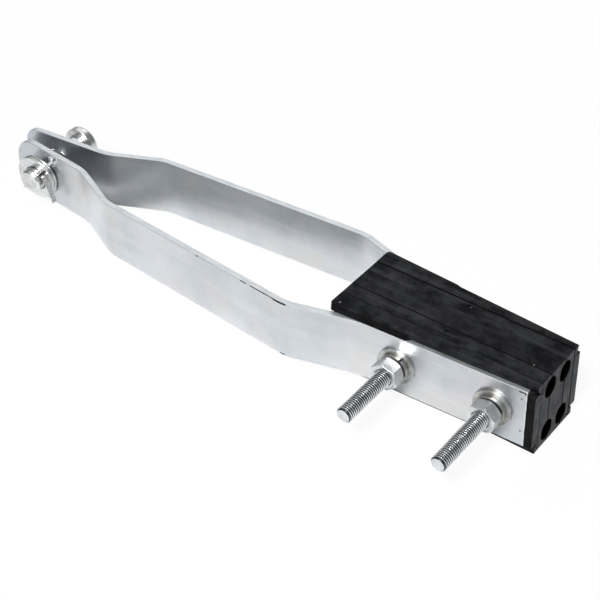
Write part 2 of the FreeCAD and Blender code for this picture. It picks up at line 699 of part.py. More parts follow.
os.makedirs("parts", exist_ok=True)
for body in bodies:
    body.Shape.exportStep(f"parts/{body.Label}.step")
    print(body.Label, round(body.Shape.Volume / 1000, 2), "cm3")
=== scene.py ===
import math
import random

import bmesh
import bpy
from mathutils import Matrix, Vector


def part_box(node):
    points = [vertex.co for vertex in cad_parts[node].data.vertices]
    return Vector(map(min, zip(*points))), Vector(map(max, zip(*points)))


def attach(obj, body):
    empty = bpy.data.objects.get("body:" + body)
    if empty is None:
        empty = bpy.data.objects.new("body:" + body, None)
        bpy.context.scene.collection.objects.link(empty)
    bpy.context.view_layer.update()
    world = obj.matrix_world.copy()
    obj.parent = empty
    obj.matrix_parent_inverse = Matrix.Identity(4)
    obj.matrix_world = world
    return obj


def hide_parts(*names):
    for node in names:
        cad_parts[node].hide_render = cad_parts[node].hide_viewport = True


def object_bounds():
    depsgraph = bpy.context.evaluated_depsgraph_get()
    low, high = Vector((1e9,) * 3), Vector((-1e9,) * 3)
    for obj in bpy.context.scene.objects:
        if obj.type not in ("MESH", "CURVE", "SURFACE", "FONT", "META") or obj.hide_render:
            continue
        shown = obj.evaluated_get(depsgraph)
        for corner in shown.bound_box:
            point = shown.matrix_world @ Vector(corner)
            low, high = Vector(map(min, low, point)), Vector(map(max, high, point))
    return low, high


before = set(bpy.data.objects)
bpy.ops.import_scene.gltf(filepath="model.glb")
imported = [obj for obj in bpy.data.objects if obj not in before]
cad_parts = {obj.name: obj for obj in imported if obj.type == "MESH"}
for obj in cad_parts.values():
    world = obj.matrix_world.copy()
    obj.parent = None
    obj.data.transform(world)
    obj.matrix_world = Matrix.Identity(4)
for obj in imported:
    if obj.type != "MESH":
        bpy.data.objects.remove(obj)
solid_low, solid_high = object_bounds()

# Lengths are in metres and angles in radians, unless a line says degrees

# Flat bars: stations along the inner face of the rear bar, as X and Y
BAR_THICK = 0.0040
BAR_HALF_WIDTH = 0.0200
BAR_STATIONS = ((-0.0260, 0.002861), (0.0433, 0.009363), (0.0791, 0.025400), (0.2304, 0.036650),
                (0.2729, 0.024098), (0.3781, 0.018400))
BAR_BEND_RADII = (0.036, 0.026, 0.030, 0.060)
BAR_LEAN = math.radians(3.1)
BAR_END = 0.3781
BAR_END_HALF_WIDTH = 0.0184
BAR_EDGE_ROUND = 0.00055
EAR_BACK = -0.0250
EAR_CORNERS = (0.0105, 0.0200)
EAR_HOLE_RADIUS = 0.0095
BOLT_HOLE_RADIUS = 0.0065

# Torn edge at the clamped end of a bar
FRAY_BAND, FRAY_MARGIN, FRAY_DEPTH = 0.0008, 0.0001, 0.0004
FRAY_CUTS, FRAY_SEED = 30, 11

# Block
BLOCK_START, BLOCK_END = 0.2538, 0.3835
BLOCK_HALF_HEIGHT = 0.0248
SLAB_EDGE_ROUND, CHEEK_EDGE_ROUND = 0.0003, 0.0008
CHANNEL_RADIUS, CHANNEL_ARC_HEIGHTS = 0.0054, (0.0146, 0.0170)

# Seams between the slabs: their Y, what the slabs keep back from them, and the front jaw's shift in Y
INNER_SEAM, OUTER_SEAM = 0.0076, 0.0166
CLOSED_SEAM, OPEN_SEAM = 0.00002, 0.00004
FRONT_JAW_SHIFT = CLOSED_SEAM - OPEN_SEAM * 0.8

# Lips, mouth and rib of a cheek
LIP_FLOOR = 0.0201
LIP_STEP, LIP_STEP_END = 0.3030, 0.3060
LIP_SETBACK, LIP_OVERHANG, LIP_DRAFT = 0.0025, 0.0012, 0.0007
LOWER_CREST = 0.0198
MOUTH_CORNER, MOUTH_CORNER_HEIGHT, MOUTH_ROUND = 0.028, 0.003, 0.0022
RIB_START, RIB_HALF_HEIGHT, RIB_FACE = 0.3783, 0.0185, 0.0230

# Bolts, nuts and washers
BOLT_STATIONS = {"inner": 0.2982, "outer": 0.3587}
BOLT_RADIUS, THREAD_ROOT, THREAD_PITCH = 0.00495, 0.00415, 0.0015
THREAD_LENGTH, THREAD_RUN_OUT = 0.0525, 0.0006
TIP_CHAMFER = 0.0010
HEAD_HEIGHT = 0.0064
NUT_HEIGHT = 0.0084
NUT_MOUTH_RADIUS, NUT_THREAD_GAP = 0.0057, 0.00008
NUT_TURNS = {"inner": math.radians(12), "outer": math.radians(-14)}
HEXAGON_WIDTH, HEXAGON_EDGE_ROUND = 0.0160, 0.0002
HEXAGON_FACE_SHARE, HEXAGON_CHAMFER = 0.97, math.radians(30)
WASHER_THICK, WASHER_RADIUS, WASHER_BORE = 0.0020, 0.01175, 0.0053
SPRING_THICK, SPRING_RADIUS, SPRING_RIM = 0.0022, 0.0090, 0.0003
SLIT_HALF_WIDTH, SLIT_SLOPE = 0.0006, math.radians(20)
SLIT_TURNS = {"inner": math.radians(150), "outer": math.radians(20)}

# One turn of the thread: radius, and height as a share of the pitch
THREAD_FLANK = BOLT_RADIUS - 0.00006
THREAD_TURN = ((THREAD_ROOT, 0.0), (THREAD_ROOT, 0.14), (THREAD_FLANK, 0.42), (BOLT_RADIUS, 0.47),
               (BOLT_RADIUS, 0.56), (THREAD_FLANK, 0.61), (THREAD_ROOT, 0.89), (THREAD_ROOT, 1.0))

# The thread is made with turns to spare, starts below its low end, and is then cut to length
THREAD_SPARE_TURNS, THREAD_LEAD_TURNS, THREAD_TIP_SPARE = 4, 2.4, 0.0003

# Clevis pin, along its own axis from the origin. Its tip's edge is given as steps from its radius and end
PIN_TILT = math.radians(4.2)
PIN_RADIUS = 0.0080
PIN_TIP, PIN_HEAD_SEAT = -0.022668, 0.027332
PIN_TIP_EDGE = ((-0.0011, 0.0), (-0.0009, 0.00008), (-0.0001, 0.0009), (0.0, 0.0011))
PIN_HEAD_RADIUS, PIN_HEAD_HEIGHT, PIN_HEAD_ROUND = 0.0121, 0.0064, 0.0024
PIN_FILLET = 0.0003
PIN_WASHER_PLACES = {"inner": -0.014368, "outer": -0.016468}
PIN_WASHER_THICK, PIN_WASHER_RADIUS, PIN_WASHER_BORE = 0.0021, 0.0150, 0.0085
PIN_WASHER_RIM = 0.0005
ALONG_PIN = Matrix.Rotation(PIN_TILT, 4, "Z") @ Matrix.Rotation(math.radians(-90), 4, "X")

# Split pin, along its straight leg from the clevis pin's axis
SPLIT_PIN_PLACE = -0.018568
SPLIT_PIN_TURN = math.radians(44.5)
SPLIT_PIN_TIP, SPLIT_PIN_ROOT = 0.0320, -0.0072
WIRE_RADIUS, WIRE_HOLE = 0.00185, 0.00205
LEG_GAP = 0.00002
LEG_BEND_RADIUS, LEG_BEND_TURN = 0.0032, math.radians(117)
EYE_RADIUS, NECK_RADIUS = 0.0011, 0.0019

# Tools and meshes: reaches past what is cut, merging distances, and steps round a circle or an arc
PRIMITIVE_RADIUS = 0.01
TOOL_REACH, CROSS_TOOL_REACH, CHANNEL_TOOL_PAST = 0.05, 0.02, 0.01
OVERCUT = 0.001
FIRST_LIFT = 0.001
MERGE, TURNED_MERGE = 1e-7, 1e-6
PLANE_TOLERANCE = 1e-7
TOUCHING = 1e-5
ROUND_STEPS, FINE_ROUND_STEPS, BOLT_HOLE_STEPS, SMALL_ROUND_STEPS = 72, 96, 64, 32
ARC_STEPS, WIRE_STEPS = 24, 12
BEND_STEP, WIRE_BEND_STEP = math.radians(3), math.radians(7.5)

# Zinc
ZINC_GREY, ZINC_PALE = (0.500, 0.530, 0.565, 1), (0.655, 0.672, 0.690, 1)
ZINC_ROSE, ZINC_STRAW = (0.65, 0.61, 0.62, 1), (0.64, 0.625, 0.575, 1)
ZINC_STREAK = (0.76, 0.77, 0.78, 1)
SHEARED_GREY, SHEARED_PALE = (0.66, 0.69, 0.71, 1), (0.80, 0.82, 0.83, 1)
# The bars' arris: a painted shade line, then a painted highlight past where it changes over in X
ARRIS_PAINTED_SHADE, ARRIS_PAINTED_HIGHLIGHT = (0.12, 0.13, 0.14, 1), (0.97, 0.98, 0.98, 1)
ARRIS_CHANGE = (0.2314, 0.2360)
BURR_BRIGHT = (0.86, 0.87, 0.88, 1)
BURR_WIDTH, BURR_PAST = 0.0006, 0.001
DASH_BLACK = (0.012, 0.012, 0.013, 1)
FASTENER_GREY, FASTENER_PALE = (0.60, 0.61, 0.61, 1), (0.82, 0.83, 0.84, 1)
# Brown patches: partly stains, and on the nuts and washers partly painted reflection
PATCH_BROWN, WASHER_PATCH_BROWN = (0.42, 0.38, 0.31, 1), (0.32, 0.305, 0.255, 1)
# Painted shade between the thread's crests
GROOVE_SHADE_DARK = (0.045, 0.047, 0.05, 1)
GROOVE_SPAN = (THREAD_ROOT + 0.0003, THREAD_ROOT + 0.00055)

# Rubber
RUBBER_BLACK, RUBBER_DARK = (0.0055, 0.0058, 0.0065, 1), (0.027, 0.0275, 0.0295, 1)
RUBBER_STREAK = (0.042, 0.0425, 0.045, 1)
# Greyer cut end, partly painted light from that side
RUBBER_CUT_DARK, RUBBER_CUT_PALE = (0.062, 0.063, 0.066, 1), (0.14, 0.141, 0.146, 1)
# Painted highlight on the arris round the cut ends
RUBBER_ARRIS_HIGHLIGHT = (0.10, 0.10, 0.105, 1)
# Painted shade on the slabs' sides that face along Y
RUBBER_SIDE_SHADE = (0.0015, 0.0015, 0.0018, 1)
# Painted shade in the seams, and in the channels and holes
SEAM_SHADE_BLACK, INSIDE_SHADE_BLACK = (0.0006, 0.0006, 0.0006, 1), (0.0004, 0.0004, 0.0004, 1)

# The walls of the channels and holes, which are given painted shade, lie within these distances of the
# block's middle
INSIDE_HALF_WIDTH, INSIDE_HALF_HEIGHT = 0.0140, 0.0237

# Painted shade lines along the seams, where the slabs part: a seam's Y, and half the line's width on the
# cut end and on top
SEAM_SHADE_LINES = ((-OUTER_SEAM, 0.00030, 0.00016), (-INNER_SEAM, 0.00055, 0.00038),
              (INNER_SEAM, 0.00075, 0.0), (OUTER_SEAM, 0.00070, 0.00060))

# Dark dashes on the front bar's edges: where each starts and ends in X, then in Z
DARK_DASHES = ((0.2222, 0.2312, 0.0189, 0.0202), (0.2040, 0.2222, 0.01945, 0.0202),
               (0.1962, 0.2010, 0.0194, 0.0202), (0.1602, 0.1618, 0.0193, 0.0202),
               (0.2250, 0.2290, -0.0202, -0.0188), (0.3733, 0.3776, 0.0182, 0.0191))

# How far the outlines of the marks stray
MARK_STRAY_ON_ZINC, MARK_STRAY_ON_RUBBER = 0.0004, 0.0003

# Specks on the front bar: centre, radius and grey level
BAR_SPECKS = (((0.3750, -0.0226, 0.0138), 0.0007, 0.05),
              ((0.3755, -0.0225, -0.0096), 0.0008, 0.06),
              ((0.3768, -0.0225, 0.0175), 0.0006, 0.10),
              ((0.0175, -0.0055, 0.0200), 0.0008, 0.95))

# Pits and scuffs on the block's top: centre, radius, grey level and how strongly each shows
FRONT_CHEEK_MARKS = (((0.2584, -0.0250, 0.0248), 0.0008, 0.25, 0.8),)
REAR_JAW_MARKS = (((0.3185, 0.0137, 0.0248), 0.0016, 0.0005, 1.0),
                  ((0.3200, 0.0132, 0.0248), 0.0006, 0.12, 0.8),
                  ((0.2699, 0.0115, 0.0248), 0.0040, 0.045, 0.3))
FRONT_JAW_MARKS = (((0.3198, -0.0111, 0.0248), 0.0014, 0.0005, 1.0),
                   ((0.2742, -0.0126, 0.0248), 0.0060, 0.04, 0.35),
                   ((0.2900, -0.0105, 0.0248), 0.0040, 0.035, 0.3))
INSERT_MARKS = (((0.3722, -0.0069, 0.0248), 0.0006, 0.25, 0.8),)

# Studio: each light's name, place, size and power, and the white that the camera and the gloss meet
LIGHTS = (("front_softbox", (0.55, -1.55, 2.05), (0.65, 0.51), 79.0),
          ("back_softbox", (-0.68, 1.06, 1.16), (1.7, 1.3), 7.0))
LIT_POINT = (0.2, 0, 0)
FLOOR_SIZE, FLOOR_GAP, FLOOR_LEVEL = 8, 0.0002, 0.88
FLOOR_WHITE_SEEN, FLOOR_WHITE_MIRRORED = 0.93, 0.12
WORLD_WHITE_SEEN, WORLD_WHITE_MIRRORED = 1.0, 0.2
ROOM_LEVELS = ((0.0, (0.005, 0.005, 0.006, 1)), (0.25, (0.010, 0.014, 0.019, 1)),
               (0.8, (0.12, 0.145, 0.172, 1)))

# Camera: azimuth, elevation and roll in degrees. Then a point between the bars, how far it lies to the
# right of the picture's middle and below it, and its distance
CAMERA_ANGLES = (39.657, 40.093, 2.693)
CAMERA_TARGET = (0.22376, 0, 0)
TARGET_ASIDE, TARGET_BELOW, TARGET_DISTANCE = 0.011211, -0.006006, 0.845187
FOCAL_PIXELS, FRAME_PIXELS = 1431.084, 600
SENSOR_WIDTH = 36.0
CLIP_START, CLIP_END = 0.01, 20.0


# Modelling


def choose(piece):
    """Selects one piece alone and makes it active."""
    bpy.ops.object.select_all(action="DESELECT")
    piece.select_set(True)
    bpy.context.view_layer.objects.active = piece


def enter(piece, everything=False):
    """Edit mode on one piece, with all of it selected or nothing."""
    choose(piece)
    bpy.ops.object.mode_set(mode="EDIT")
    bpy.ops.mesh.select_all(action="SELECT" if everything else "DESELECT")


def leave():
    bpy.ops.object.mode_set(mode="OBJECT")


def pick_edges(piece, wanted):
    """Selects in edit mode the edges that answer to wanted."""
    bpy.ops.mesh.select_all(action="DESELECT")
    bpy.ops.mesh.select_mode(type="EDGE")
    mesh = bmesh.from_edit_mesh(piece.data)
    for edge in mesh.edges:
        if wanted(edge):
            edge.select_set(True)
    mesh.select_flush_mode()
    bmesh.update_edit_mesh(piece.data)


def rise(edge):
    """How far an edge reaches in Z."""
    return abs(edge.verts[0].co.z - edge.verts[1].co.z)


def apply(piece, modifier):
    choose(piece)
    bpy.ops.object.modifier_apply(modifier=modifier.name)


def outline(name, points, filled=True, is_open=False):
    """Circle primitive whose vertices are carried to the points. An open one loses its closing edge."""
    bpy.ops.mesh.primitive_circle_add(vertices=len(points), radius=PRIMITIVE_RADIUS,
                                      fill_type="NGON" if filled else "NOTHING")
    piece = bpy.context.object
    piece.name = name
    enter(piece)
    mesh = bmesh.from_edit_mesh(piece.data)
    mesh.verts.ensure_lookup_table()
    for vertex, point in zip(mesh.verts, points):
        vertex.co = point
    if is_open:
        ends = {mesh.verts[0], mesh.verts[-1]}
        for edge in mesh.edges:
            edge.select_set(set(edge.verts) == ends)
    bmesh.update_edit_mesh(piece.data)
    if is_open:
        bpy.ops.mesh.delete(type="EDGE_FACE")
    leave()
    return piece


def tidy_skin(piece, merge=MERGE):
    """Merges doubles and turns all faces outwards."""
    enter(piece, everything=True)
    bpy.ops.mesh.remove_doubles(threshold=merge)
    bpy.ops.mesh.normals_make_consistent(inside=False)
    leave()


def prism(name, foot, crest):
    """Solid between two outlines that have the same number of corners."""
    piece = outline(name, foot)
    enter(piece, everything=True)
    lift = Vector((0, 0, FIRST_LIFT))
    bpy.ops.mesh.extrude_region_move(TRANSFORM_OT_translate={"value": lift})
    mesh = bmesh.from_edit_mesh(piece.data)
    lifted = [Vector(point) + lift for point in foot]
    for vertex in mesh.verts:
        if vertex.select:
            nearest = min(range(len(foot)), key=lambda index: (lifted[index] - vertex.co).length)
            vertex.co = crest[nearest]
    bmesh.update_edit_mesh(piece.data)
    leave()
    tidy_skin(piece)
    return piece


def extruded(name, section, way):
    """Solid of one section, drawn out along the way."""
    piece = outline(name, section)
    enter(piece, everything=True)
    bpy.ops.mesh.extrude_region_move(TRANSFORM_OT_translate={"value": way})
    leave()
    tidy_skin(piece)
    return piece


def turned(name, profile, steps=ROUND_STEPS, closed=False):
    """Solid turned about Z from pairs of radius and height. An open profile starts and ends on the axis."""
    points = [(radius, 0, height) for radius, height in profile]
    piece = outline(name, points, filled=False, is_open=not closed)
    enter(piece, everything=True)
    bpy.ops.mesh.spin(steps=steps, angle=math.tau, center=(0, 0, 0), axis=(0, 0, 1))
    leave()
    tidy_skin(piece, TURNED_MERGE)
    return piece


def block(name, low, high):
    """Box from its lowest corner to its highest."""
    low, high = Vector(low), Vector(high)
    bpy.ops.mesh.primitive_cube_add(size=1, location=(low + high) / 2)
    piece = bpy.context.object
    piece.name = name
    piece.scale = high - low
    bpy.ops.object.transform_apply()
    return piece


def rod(name, radius, start, end, sides=FINE_ROUND_STEPS):
    """Round tool between two points."""
    start, end = Vector(start), Vector(end)
    turn = (end - start).to_track_quat("Z", "Y").to_euler()
    bpy.ops.mesh.primitive_cylinder_add(vertices=sides, radius=radius, depth=(end - start).length,
                                        location=(start + end) / 2, rotation=turn)
    piece = bpy.context.object
    piece.name = name
    bpy.ops.object.transform_apply()
    return piece


def combine(piece, other, operation="DIFFERENCE"):
    """Cuts, joins or intersects a piece with another one, which is used up."""
    step = piece.modifiers.new("Combine", "BOOLEAN")
    step.operation = operation
    step.object = other
    step.solver = "EXACT"
    apply(piece, step)
    bpy.data.objects.remove(other)


def soften(piece, width, segments=2, limit=32):
    """Rounds the edges that are sharper than the limit, in degrees, and shades the piece."""
    step = piece.modifiers.new("Rounding", "BEVEL")
    step.width = width
    step.segments = segments
    step.limit_method = "ANGLE"
    step.angle_limit = math.radians(limit)
    apply(piece, step)
    shade(piece)


def shade(piece, limit=40):
    """Smooth shading up to the limit, in degrees. The broad faces keep their own normals."""
    choose(piece)
    bpy.ops.object.shade_smooth_by_angle(angle=math.radians(limit))
    step = piece.modifiers.new("Shading", "WEIGHTED_NORMAL")
    step.keep_sharp = True
    apply(piece, step)


def settle(piece, matrix):
    """Carries a piece to its place and leaves its object at the origin."""
    choose(piece)
    piece.matrix_world = matrix
    bpy.ops.object.transform_apply()


def copied(piece, name):
    """A copy with a mesh of its own."""
    choose(piece)
    bpy.ops.object.duplicate(linked=False)
    piece = bpy.context.object
    piece.name = name
    return piece


def mirrored(piece, name):
    """The piece's mirror image in the plane between the bars."""
    piece = copied(piece, name)
    settle(piece, Matrix.Scale(-1, 4, (0, 1, 0)))
    tidy_skin(piece)
    shade(piece)
    return piece


def follow(start, heading, path, fineness=BEND_STEP):
    """Carries the selected section along runs (length, 0) and bends (radius, turn) in plan."""
    place = Vector((start[0], start[1], 0))
    for size, turn in path:
        ahead = Vector((math.cos(heading), math.sin(heading), 0))
        if turn:
            left = Vector((-ahead.y, ahead.x, 0))
            centre = place + left * math.copysign(size, turn)
            steps = max(3, math.ceil(abs(turn) / fineness))
            bpy.ops.mesh.spin(steps=steps, angle=turn, center=centre, axis=(0, 0, -1))
            place = centre + Matrix.Rotation(turn, 3, "Z") @ (place - centre)
            heading += turn
        else:
            bpy.ops.mesh.extrude_region_move(TRANSFORM_OT_translate={"value": ahead * size})
            place = place + ahead * size


def drill_for_bolts(piece):
    """Both bolt holes, across the clamp."""
    for station in BOLT_STATIONS.values():
        start, end = (station, -TOOL_REACH, 0), (station, TOOL_REACH, 0)
        combine(piece, rod("bolt_hole", BOLT_HOLE_RADIUS, start, end, BOLT_HOLE_STEPS))


# Bars


def bar_face(station):
    """Half width to the outer face of a bar where it is clamped."""
    return BAR_END_HALF_WIDTH + math.tan(BAR_LEAN) * (BAR_END - station) + BAR_THICK / math.cos(BAR_LEAN)


def bar_path():
    """First heading of the bar's inner face, then its runs and bends."""
    points = [Vector(station) for station in BAR_STATIONS]
    runs = [end - start for start, end in zip(points, points[1:])]
    headings = [math.atan2(run.y, run.x) for run in runs]
    path = []
    used = 0.0
    for index, inner_radius in enumerate(BAR_BEND_RADII):
        turn = headings[index + 1] - headings[index]
        radius = inner_radius + (BAR_THICK if turn > 0 else 0)
        tangent = radius * math.tan(abs(turn) / 2)
        path.append((runs[index].length - used - tangent, 0))
        path.append((radius, turn))
        used = tangent
    path.append((runs[-1].length - used, 0))
    return headings[0], path


def ear_waste():
    """Tool that leaves the ear: all that lies past its end and outside its two rounded corners."""
    high, low = EAR_CORNERS
    margin = BAR_HALF_WIDTH + OVERCUT
    waste = [(EAR_BACK + high, margin)]
    for radius, level, start in ((high, BAR_HALF_WIDTH - high, 90), (low, low - BAR_HALF_WIDTH, 180)):
        for step in range(ARC_STEPS + 1):
            angle = math.radians(start + 90 * step / ARC_STEPS)
            waste.append((EAR_BACK + radius + radius * math.cos(angle), level + radius * math.sin(angle)))
    waste += [(EAR_BACK + low, -margin), (-TOOL_REACH, -margin), (-TOOL_REACH, margin)]
    return extruded("ear_waste", [(x, -TOOL_REACH, z) for x, z in waste], (0, 2 * TOOL_REACH, 0))


def fray_end(bar):
    """Torn edge that the shears left at the clamped end."""
    chance = random.Random(FRAY_SEED)
    enter(bar)
    pick_edges(bar, lambda edge: all(vertex.co.x > BAR_END - FRAY_BAND for vertex in edge.verts)
               and rise(edge) > BAR_HALF_WIDTH)
    bpy.ops.mesh.subdivide(number_cuts=FRAY_CUTS)
    mesh = bmesh.from_edit_mesh(bar.data)
    for vertex in mesh.verts:
        if vertex.select and abs(vertex.co.z) < BAR_HALF_WIDTH - FRAY_MARGIN:
            vertex.co.x -= chance.uniform(0.0, FRAY_DEPTH)
    bmesh.update_edit_mesh(bar.data)
    leave()


def make_bar(name):
    """The rear bar: its section carried through the bends, then the ear and the holes."""
    heading, path = bar_path()
    inner = Vector(BAR_STATIONS[0])
    outer = inner + Vector((-math.sin(heading), math.cos(heading))) * BAR_THICK
    corners = [(inner.x, inner.y, -BAR_HALF_WIDTH), (inner.x, inner.y, BAR_HALF_WIDTH),
               (outer.x, outer.y, BAR_HALF_WIDTH), (outer.x, outer.y, -BAR_HALF_WIDTH)]
    bar = outline(name, corners)
    enter(bar, everything=True)
    follow(inner, heading, path)
    leave()
    tidy_skin(bar)
    combine(bar, ear_waste())
    combine(bar, rod("pin_hole", EAR_HOLE_RADIUS, (0, -TOOL_REACH, 0), (0, TOOL_REACH, 0)))
    drill_for_bolts(bar)
    fray_end(bar)
    soften(bar, BAR_EDGE_ROUND)
    return bar


# Block


def channel(row, level):
    """Tool for one channel: an upright slot with round ends, past both ends of the block."""
    low, high = sorted(level * height for height in CHANNEL_ARC_HEIGHTS)
    section = []
    for centre, start in ((high, 0), (low, 180)):
        for step in range(ARC_STEPS + 1):
            angle = math.radians(start + 180 * step / ARC_STEPS)
            section.append((BLOCK_START - CHANNEL_TOOL_PAST, row + CHANNEL_RADIUS * math.cos(angle),
                            centre + CHANNEL_RADIUS * math.sin(angle)))
    return extruded("channel", section, (BLOCK_END - BLOCK_START + 2 * CHANNEL_TOOL_PAST, 0, 0))


def make_slab(name, low, high, rows):
    """Slab between two values of Y, with its share of the channels at the rows."""
    slab = block(name, (BLOCK_START, low, -BLOCK_HALF_HEIGHT), (BLOCK_END, high, BLOCK_HALF_HEIGHT))
    for row in rows:
        for level in (-1, 1):
            combine(slab, channel(row, level))
    drill_for_bolts(slab)
    soften(slab, SLAB_EDGE_ROUND, segments=3)
    return slab


def make_cheek(name):
    """Rear cheek: web between bar and jaw, a lip over each edge of the bar, a rib past its end."""
    seam = OUTER_SEAM + CLOSED_SEAM
    slant = BAR_THICK / math.cos(BAR_LEAN)
    plan = [(BLOCK_START, seam), (BLOCK_END, seam), (BLOCK_END, bar_face(BLOCK_END) - slant),
            (BLOCK_START, bar_face(BLOCK_START) - slant)]
    cheek = prism(name, [(x, y, -BLOCK_HALF_HEIGHT) for x, y in plan],
                  [(x, y, BLOCK_HALF_HEIGHT) for x, y in plan])

    stations = (BLOCK_START, BLOCK_END, BLOCK_END, LIP_STEP_END, LIP_STEP, BLOCK_START)
    edges = [bar_face(x) - LIP_SETBACK for x in (BLOCK_END, LIP_STEP_END)]
    faces = [bar_face(x) for x in (LIP_STEP, BLOCK_START)]
    foot = [seam, seam] + edges + faces
    upper = [seam, seam] + [edge + LIP_OVERHANG for edge in edges] + [face - LIP_DRAFT for face in faces]
    lower = [seam, seam] + [LOWER_CREST] * 4
    for level, crest in ((1, upper), (-1, lower)):
        lip = prism("lip", [(x, y, level * LIP_FLOOR) for x, y in zip(stations, foot)],
                    [(x, y, level * BLOCK_HALF_HEIGHT) for x, y in zip(stations, crest)])
        combine(cheek, lip, "UNION")

    enter(cheek)
    pick_edges(cheek, lambda edge: all(abs(vertex.co.x - BLOCK_START) < TOUCHING
                                       and vertex.co.y > MOUTH_CORNER for vertex in edge.verts)
               and rise(edge) > MOUTH_CORNER_HEIGHT and edge.verts[0].co.z > 0)
    bpy.ops.mesh.bevel(offset=MOUTH_ROUND, segments=5)
    leave()
    rib = block("rib", (RIB_START, seam, -RIB_HALF_HEIGHT), (BLOCK_END, RIB_FACE, RIB_HALF_HEIGHT))
    combine(cheek, rib, "UNION")
    drill_for_bolts(cheek)
    soften(cheek, CHEEK_EDGE_ROUND, segments=3)
    return cheek


# Bolts, nuts and washers, each made about Z from its bearing face


def hexagon(name, low, high, both_ends):
    """Hexagonal prism whose corners are turned off at its low end, or at both ends."""
    corner = HEXAGON_WIDTH / math.sqrt(3)
    bpy.ops.mesh.primitive_cylinder_add(vertices=6, radius=corner, depth=high - low,
                                        location=(0, 0, (low + high) / 2))
    piece = bpy.context.object
    piece.name = name
    bpy.ops.object.transform_apply()
    face = HEXAGON_WIDTH / 2 * HEXAGON_FACE_SHARE
    past = corner * 1.1
    drop = (past - face) * math.tan(HEXAGON_CHAMFER)
    profile = [(0, low), (face, low), (past, low + drop)]
    if both_ends:
        profile += [(past, high - drop), (face, high), (0, high)]
    else:
        profile += [(past, high + OVERCUT), (0, high + OVERCUT)]
    combine(piece, turned("hexagon_blank", profile, FINE_ROUND_STEPS), "INTERSECT")
    return piece


def make_thread(name, low, high):
    """Screw thread between two heights, chamfered at the high end."""
    turns = math.ceil((high - low) / THREAD_PITCH) + THREAD_SPARE_TURNS
    base = low - THREAD_LEAD_TURNS * THREAD_PITCH
    profile = [(radius, 0, base + share * THREAD_PITCH) for radius, share in THREAD_TURN]
    piece = outline(name, profile, filled=False, is_open=True)
    screw = piece.modifiers.new("Screw", "SCREW")
    screw.steps = screw.render_steps = SMALL_ROUND_STEPS
    screw.screw_offset = THREAD_PITCH
    screw.iterations = turns
    screw.use_merge_vertices = True
    screw.merge_threshold = TURNED_MERGE
    apply(piece, screw)
    enter(piece, everything=True)
    bpy.ops.mesh.remove_doubles(threshold=TURNED_MERGE)
    bpy.ops.mesh.bisect(plane_co=(0, 0, low), plane_no=(0, 0, 1), use_fill=True, clear_inner=True,
                        threshold=PLANE_TOLERANCE)
    bpy.ops.mesh.select_all(action="SELECT")
    bpy.ops.mesh.bisect(plane_co=(0, 0, high + THREAD_TIP_SPARE), plane_no=(0, 0, 1), use_fill=True,
                        clear_outer=True, threshold=PLANE_TOLERANCE)
    bpy.ops.mesh.select_all(action="SELECT")
    bpy.ops.mesh.normals_make_consistent(inside=False)
    leave()
    past, spare = BOLT_RADIUS * 1.1, BOLT_RADIUS * 0.1
    blank = [(0, low - OVERCUT), (past, low - OVERCUT), (past, high - TIP_CHAMFER - spare),
             (BOLT_RADIUS - TIP_CHAMFER, high), (0, high)]
    combine(piece, turned("tip_blank", blank), "INTERSECT")
    return piece


def make_bolt(row):
    """Bolt with its head at the back, as long as its solid."""
    low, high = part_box(f"{row}_bolt")
    seat = high.y - HEAD_HEIGHT
    length = seat - low.y
    thread_start = length - THREAD_LENGTH
    bolt = hexagon(f"{row}_bolt_threaded", -HEAD_HEIGHT, 0, both_ends=False)
    soften(bolt, HEXAGON_EDGE_ROUND)
    shank = turned("shank", [(0, -OVERCUT), (BOLT_RADIUS, -OVERCUT), (BOLT_RADIUS, thread_start),
                             (THREAD_ROOT, thread_start + THREAD_RUN_OUT),
                             (0, thread_start + THREAD_RUN_OUT)])
    combine(bolt, shank, "UNION")
    combine(bolt, make_thread("thread", thread_start - THREAD_RUN_OUT, length), "UNION")
    shade(bolt, limit=32)
    turn = Matrix.Rotation(math.radians(90), 4, "X")
    settle(bolt, Matrix.Translation((BOLT_STATIONS[row], seat, 0)) @ turn)
    return bolt


def make_nut(row):
    """Nut with a plain bore, which the bolt's thread fills."""
    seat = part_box(f"{row}_nut")[1].y
    nut = hexagon(f"{row}_nut_hexagon", 0, NUT_HEIGHT, both_ends=True)
    bore, mouth = BOLT_RADIUS + NUT_THREAD_GAP, NUT_MOUTH_RADIUS
    sink = mouth - bore
    profile = [(0, -OVERCUT), (mouth, -OVERCUT), (mouth, 0), (bore, sink), (bore, NUT_HEIGHT - sink),
               (mouth, NUT_HEIGHT), (mouth, NUT_HEIGHT + OVERCUT), (0, NUT_HEIGHT + OVERCUT)]
    combine(nut, turned("bore", profile))
    soften(nut, HEXAGON_EDGE_ROUND)
    turn = Matrix.Rotation(math.radians(90), 4, "X") @ Matrix.Rotation(NUT_TURNS[row], 4, "Z")
    settle(nut, Matrix.Translation((BOLT_STATIONS[row], seat, 0)) @ turn)
    return nut


def make_ring(name, radius, bore, thick, rim=0.0004, foot=0.0002):
    """Stamped washer: its upper rim is rounded by the punch and its lower one is nearly sharp."""
    bore_foot, bore_rim, rim_middle = 0.0001, 0.0002, rim * 0.3
    profile = [(bore, bore_foot), (bore + bore_foot, 0), (radius - foot, 0), (radius, foot),
               (radius, thick - rim), (radius - rim_middle, thick - rim_middle), (radius - rim, thick),
               (bore + bore_rim, thick), (bore, thick - bore_rim)]
    ring = turned(name, profile, FINE_ROUND_STEPS, closed=True)
    shade(ring, limit=50)
    return ring


def on_bar(station, side, lift):
    """Place on a bar's outer face with Z outwards. The side is 1 at the back and -1 in front."""
    foot = Matrix.Translation((station, side * bar_face(station), 0))
    lean = Matrix.Rotation(-side * BAR_LEAN, 4, "Z")
    upright = Matrix.Rotation(math.radians(-90 * side), 4, "X")
    return foot @ lean @ upright @ Matrix.Translation((0, 0, lift))


